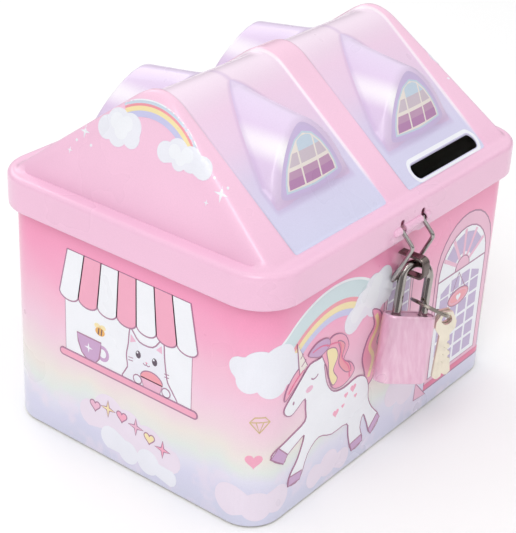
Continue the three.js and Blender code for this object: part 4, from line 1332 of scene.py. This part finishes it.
staple_low, staple_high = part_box("hasp_staple")
plate, staple_half, staple_bend = 0.8, 1.6, 1.7
nose_y = staple_low.y / MM + plate / 2
inside_y = staple_high.y / MM - plate / 2
top_z, foot_z = staple_high.z / MM - 5.0, staple_low.z / MM + 5.0
staple_path = [(inside_y, top_z + 5.0), (inside_y, top_z + 1.0), (inside_y - 0.6, top_z)]
staple_path += arc(nose_y + staple_bend, top_z - staple_bend, staple_bend, 90, 180, 8)
staple_path += arc(nose_y + staple_bend, foot_z + staple_bend, staple_bend, 180, 270, 8)
staple_path += [(inside_y - 0.6, foot_z), (inside_y, foot_z - 1.0), (inside_y, foot_z - 5.0)]
outside = edge_path(staple_path, plate / 2, False)
inside = edge_path(staple_path, -plate / 2, False)
staple_rings = []
for (y0, z0), (y1, z1) in zip(outside, inside):
    dy, dz = (y1 - y0) * 0.22, (z1 - z0) * 0.22
    edge = staple_half - 0.2
    staple_rings.append([
        (-staple_half, y0 + dy, z0 + dz), (-edge, y0, z0), (edge, y0, z0),
        (staple_half, y0 + dy, z0 + dz), (staple_half, y1 - dy, z1 - dz), (edge, y1, z1),
        (-edge, y1, z1), (-staple_half, y1 - dy, z1 - dz),
    ])
staple_steel = bare_metal(
    "staple_steel", srgb(128, 116, 112), 0.22, grain=(60.0, 900.0, 900.0), wear=0.9
)
add_piece(
    "strip_staple", loft("strip_staple", staple_rings), staple_steel, "box",
    ["hasp_staple"], sharp=40,
)

# ---------------------------------------------------------------- padlock
# A small keyed padlock: a bright hardened bow in a drawn case lacquered satin pink. Inside are a
# brass plug, its retainer and two springs, which keep their plain machined shapes.
lock_twist, lock_lean, lock_swing = -32, 11, -13.2
bow_x, bow_off_wall, bow_z = 1.6, 5.1, 65.0
lock_turn = (
    Matrix.Rotation(math.radians(lock_twist), 4, "Z")
    @ Matrix.Rotation(math.radians(lock_lean), 4, "Y")
    @ Matrix.Rotation(math.radians(lock_swing), 4, "X")
)
lock_frame = Matrix.Translation((bow_x, -half_depth - bow_off_wall, bow_z)) @ lock_turn
bow_radius, bow_rod, lock_top, lock_bottom = 4.5, 1.35, -15.6, -36.6
long_leg, short_leg = 13.0, 5.2
bow = [Vector((-bow_radius, 0, lock_top - long_leg))]
bow += [
    Vector((-bow_radius * math.cos(math.pi * step / 24), 0,
            -bow_radius + bow_radius * math.sin(math.pi * step / 24)))
    for step in range(25)
]
bow += [Vector((bow_radius, 0, lock_top - short_leg))]


def in_lock(rings):
    return [[lock_frame @ Vector(point) for point in ring] for ring in rings]


shackle_steel = bare_metal(
    "shackle_steel", srgb(176, 170, 166), 0.08, grain=(200.0, 200.0, 40.0), wear=0.35, bump=0.05
)
add_piece(
    "lock_bow", loft("lock_bow", in_lock(tube_rings(bow, bow_rod, 24))), shackle_steel,
    "shackle", ["lock_shackle"],
)

lock_half_x, lock_half_y, case_wall = 8.5, 3.75, 0.7


def lock_ring(inset, z):
    half_y = lock_half_y - inset
    return rounded_ring(lock_half_x - inset, half_y, half_y - 0.01, z, 12)


case_profile = [(0.9, 0.0), (0.45, 0.12), (0.12, 0.45), (0.0, 0.9)]
case_profile += [(0.0, 20.1), (0.05, 20.5), (0.18, 20.8), (0.4, 21.0), (0.6, 21.0)]
case_profile += [(case_wall, 20.9), (case_wall, case_wall)]
case_mesh = loft("lock_body", in_lock(
    [lock_ring(inset, lock_bottom + z) for inset, z in case_profile]
))
keyhole_radius = 2.25
keyhole_cut = cutter(loft("keyhole_cut", in_lock([
    [(x, y, z) for x, y in arc(0, 0, keyhole_radius, 0, 360, 32)]
    for z in (lock_bottom - 2, lock_bottom + 2)
])))
case_mesh = finished_mesh(case_mesh, [
    ("BOOLEAN", {"operation": "DIFFERENCE", "object": keyhole_cut, "solver": "EXACT"})
])
bpy.data.objects.remove(keyhole_cut)


def paint_case(tree):
    """Satin pink lacquer over brushed metal, in faint upright streaks."""
    point = place_in_mm(tree)[0]
    brushed = add_node(
        tree, "ShaderNodeVectorMath", {0: point, 1: (0.7, 0.7, 0.03)}, operation="MULTIPLY"
    ).outputs[0]
    streak = noise(tree, brushed, 1.2, 4.0)
    return colour_steps(tree, streak, [
        (0.3, srgb(228, 178, 203)), (0.5, srgb(234, 190, 212)), (0.7, srgb(240, 202, 220)),
    ])


case_lacquer = litho_material("case_lacquer", paint_case, grain=0.3, bump=0.02)
case_lacquer.node_tree.nodes["Principled BSDF"].inputs["Metallic"].default_value = 0.25
add_piece("lock_body", case_mesh, case_lacquer, "lock", ["lock_case"], sharp=30)
finish_node("lock_top_plate", case_lacquer)
plug_brass = bare_metal("plug_brass", srgb(214, 180, 104), 0.3, grain=even_grain)
spring_steel = bare_metal("spring_steel", srgb(170, 172, 178), 0.3, grain=even_grain)
finish_node("key_plug", plug_brass)
for name in ("plug_retainer", "shackle_clip", "shackle_spring", "latch_spring"):
    finish_node(name, spring_steel)

# ---------------------------------------------------------------- ring and keys
# A split ring of two turns of hard bare wire, threaded round the lock's bow. It carries two stamped
# keys, plated in warm nickel and drawn lengthwise.
ring_middle = Vector((bow_radius + 2.1, 0, lock_top + 2.1))
ring_lean = Matrix.Rotation(math.radians(20), 4, "Y")
ring_radius, ring_rise, ring_start, ring_steps = 6.2, 0.62, 0.6, 56
coil = [
    ring_middle + ring_lean @ Vector((
        ring_radius * math.cos(4 * math.pi * step / ring_steps + ring_start),
        ring_radius * math.sin(4 * math.pi * step / ring_steps + ring_start),
        ring_rise * (step / ring_steps - 0.5),
    ))
    for step in range(ring_steps + 1)
]
ring_wire = bare_metal("ring_wire", srgb(150, 142, 134), 0.12, grain=even_grain, wear=0.3)
add_piece(
    "split_ring", loft("split_ring", in_lock(tube_rings(coil, 0.33, 12))), ring_wire,
    "ring", ["key_ring"],
)
key_nickel = bare_metal(
    "key_nickel", srgb(238, 230, 212), 0.34, metallic=0.75, grain=(300.0, 300.0, 60.0), wear=0.3
)
finish_node("key_1", key_nickel)
finish_node("key_2", key_nickel)

# ---------------------------------------------------------------- studio
# A pale table top, three soft lamps in a bright room and a camera at a three-quarter view from the
# front left. None of it belongs to the money box.
floor_mesh = bpy.data.meshes.new("table_top")
floor_mesh.from_pydata([(-6, -6, 0), (6, -6, 0), (6, 6, 0), (-6, 6, 0)], [], [(0, 1, 2, 3)])
table_top = add_object("table_top", floor_mesh)
table_top.location.z = -0.0002
white_card, card_tree, card_shader = new_material("white_card")
card_grain = add_node(card_tree, "ShaderNodeTexNoise", {"Scale": 30.0, "Detail": 3.0})
card_tree.links.new(
    blend_colour(card_tree, card_grain.outputs["Fac"], srgb(252, 252, 252), srgb(255, 255, 255)),
    card_shader.inputs["Base Color"],
)
card_shader.inputs["Roughness"].default_value = 0.9
floor_mesh.materials.append(white_card)

world = bpy.data.worlds.new("soft_room")
bpy.context.scene.world = world
world.use_nodes = True
room = world.node_tree
upward = add_node(
    room, "ShaderNodeSeparateXYZ", {0: add_node(room, "ShaderNodeTexCoord").outputs["Generated"]}
).outputs["Z"]
room_light = colour_steps(room, upward, [
    (0.0, (0.16, 0.15, 0.16, 1)), (0.22, (0.42, 0.41, 0.42, 1)), (0.5, (1.0, 1.0, 1.0, 1)),
])
room.links.new(room_light, room.nodes["Background"].inputs["Color"])
room.nodes["Background"].inputs["Strength"].default_value = 0.93


def add_lamp(name, place, aim, size, power):
    lamp = bpy.data.lights.new(name, "AREA")
    lamp.shape = "RECTANGLE"
    lamp.size, lamp.size_y = size
    lamp.energy = power
    made = add_object(name, lamp)
    made.location = place
    made.rotation_euler = (Vector(aim) - Vector(place)).to_track_quat("-Z", "Y").to_euler()


add_lamp("key_lamp", (-0.55, -0.25, 0.75), (0, 0, 0.06), (0.35, 0.5), 2.1)
add_lamp("fill_lamp", (0.5, -0.8, 0.4), (0, 0, 0.05), (0.6, 0.5), 0.2)
add_lamp("back_lamp", (0.2, 0.7, 0.6), (0, 0, 0.06), (0.5, 0.4), 0.9)

camera_data = bpy.data.cameras.new("camera")
camera_data.lens = 100.13
camera_data.sensor_width = 36.0
camera = add_object("camera", camera_data)
camera.location = (-0.33516, -0.24828, 0.27078)
camera_aim, camera_roll = Vector((0.01095, 0.01065, 0.03556)), math.radians(2.913)
upright = (camera_aim - camera.location).to_track_quat("-Z", "Y").to_matrix()
camera.rotation_euler = (upright @ Matrix.Rotation(camera_roll, 3, "Z")).to_euler()
camera_data.clip_start, camera_data.clip_end = 0.01, 20.0
bpy.context.scene.camera = camera
bpy.context.scene.view_settings.view_transform = "Standard"
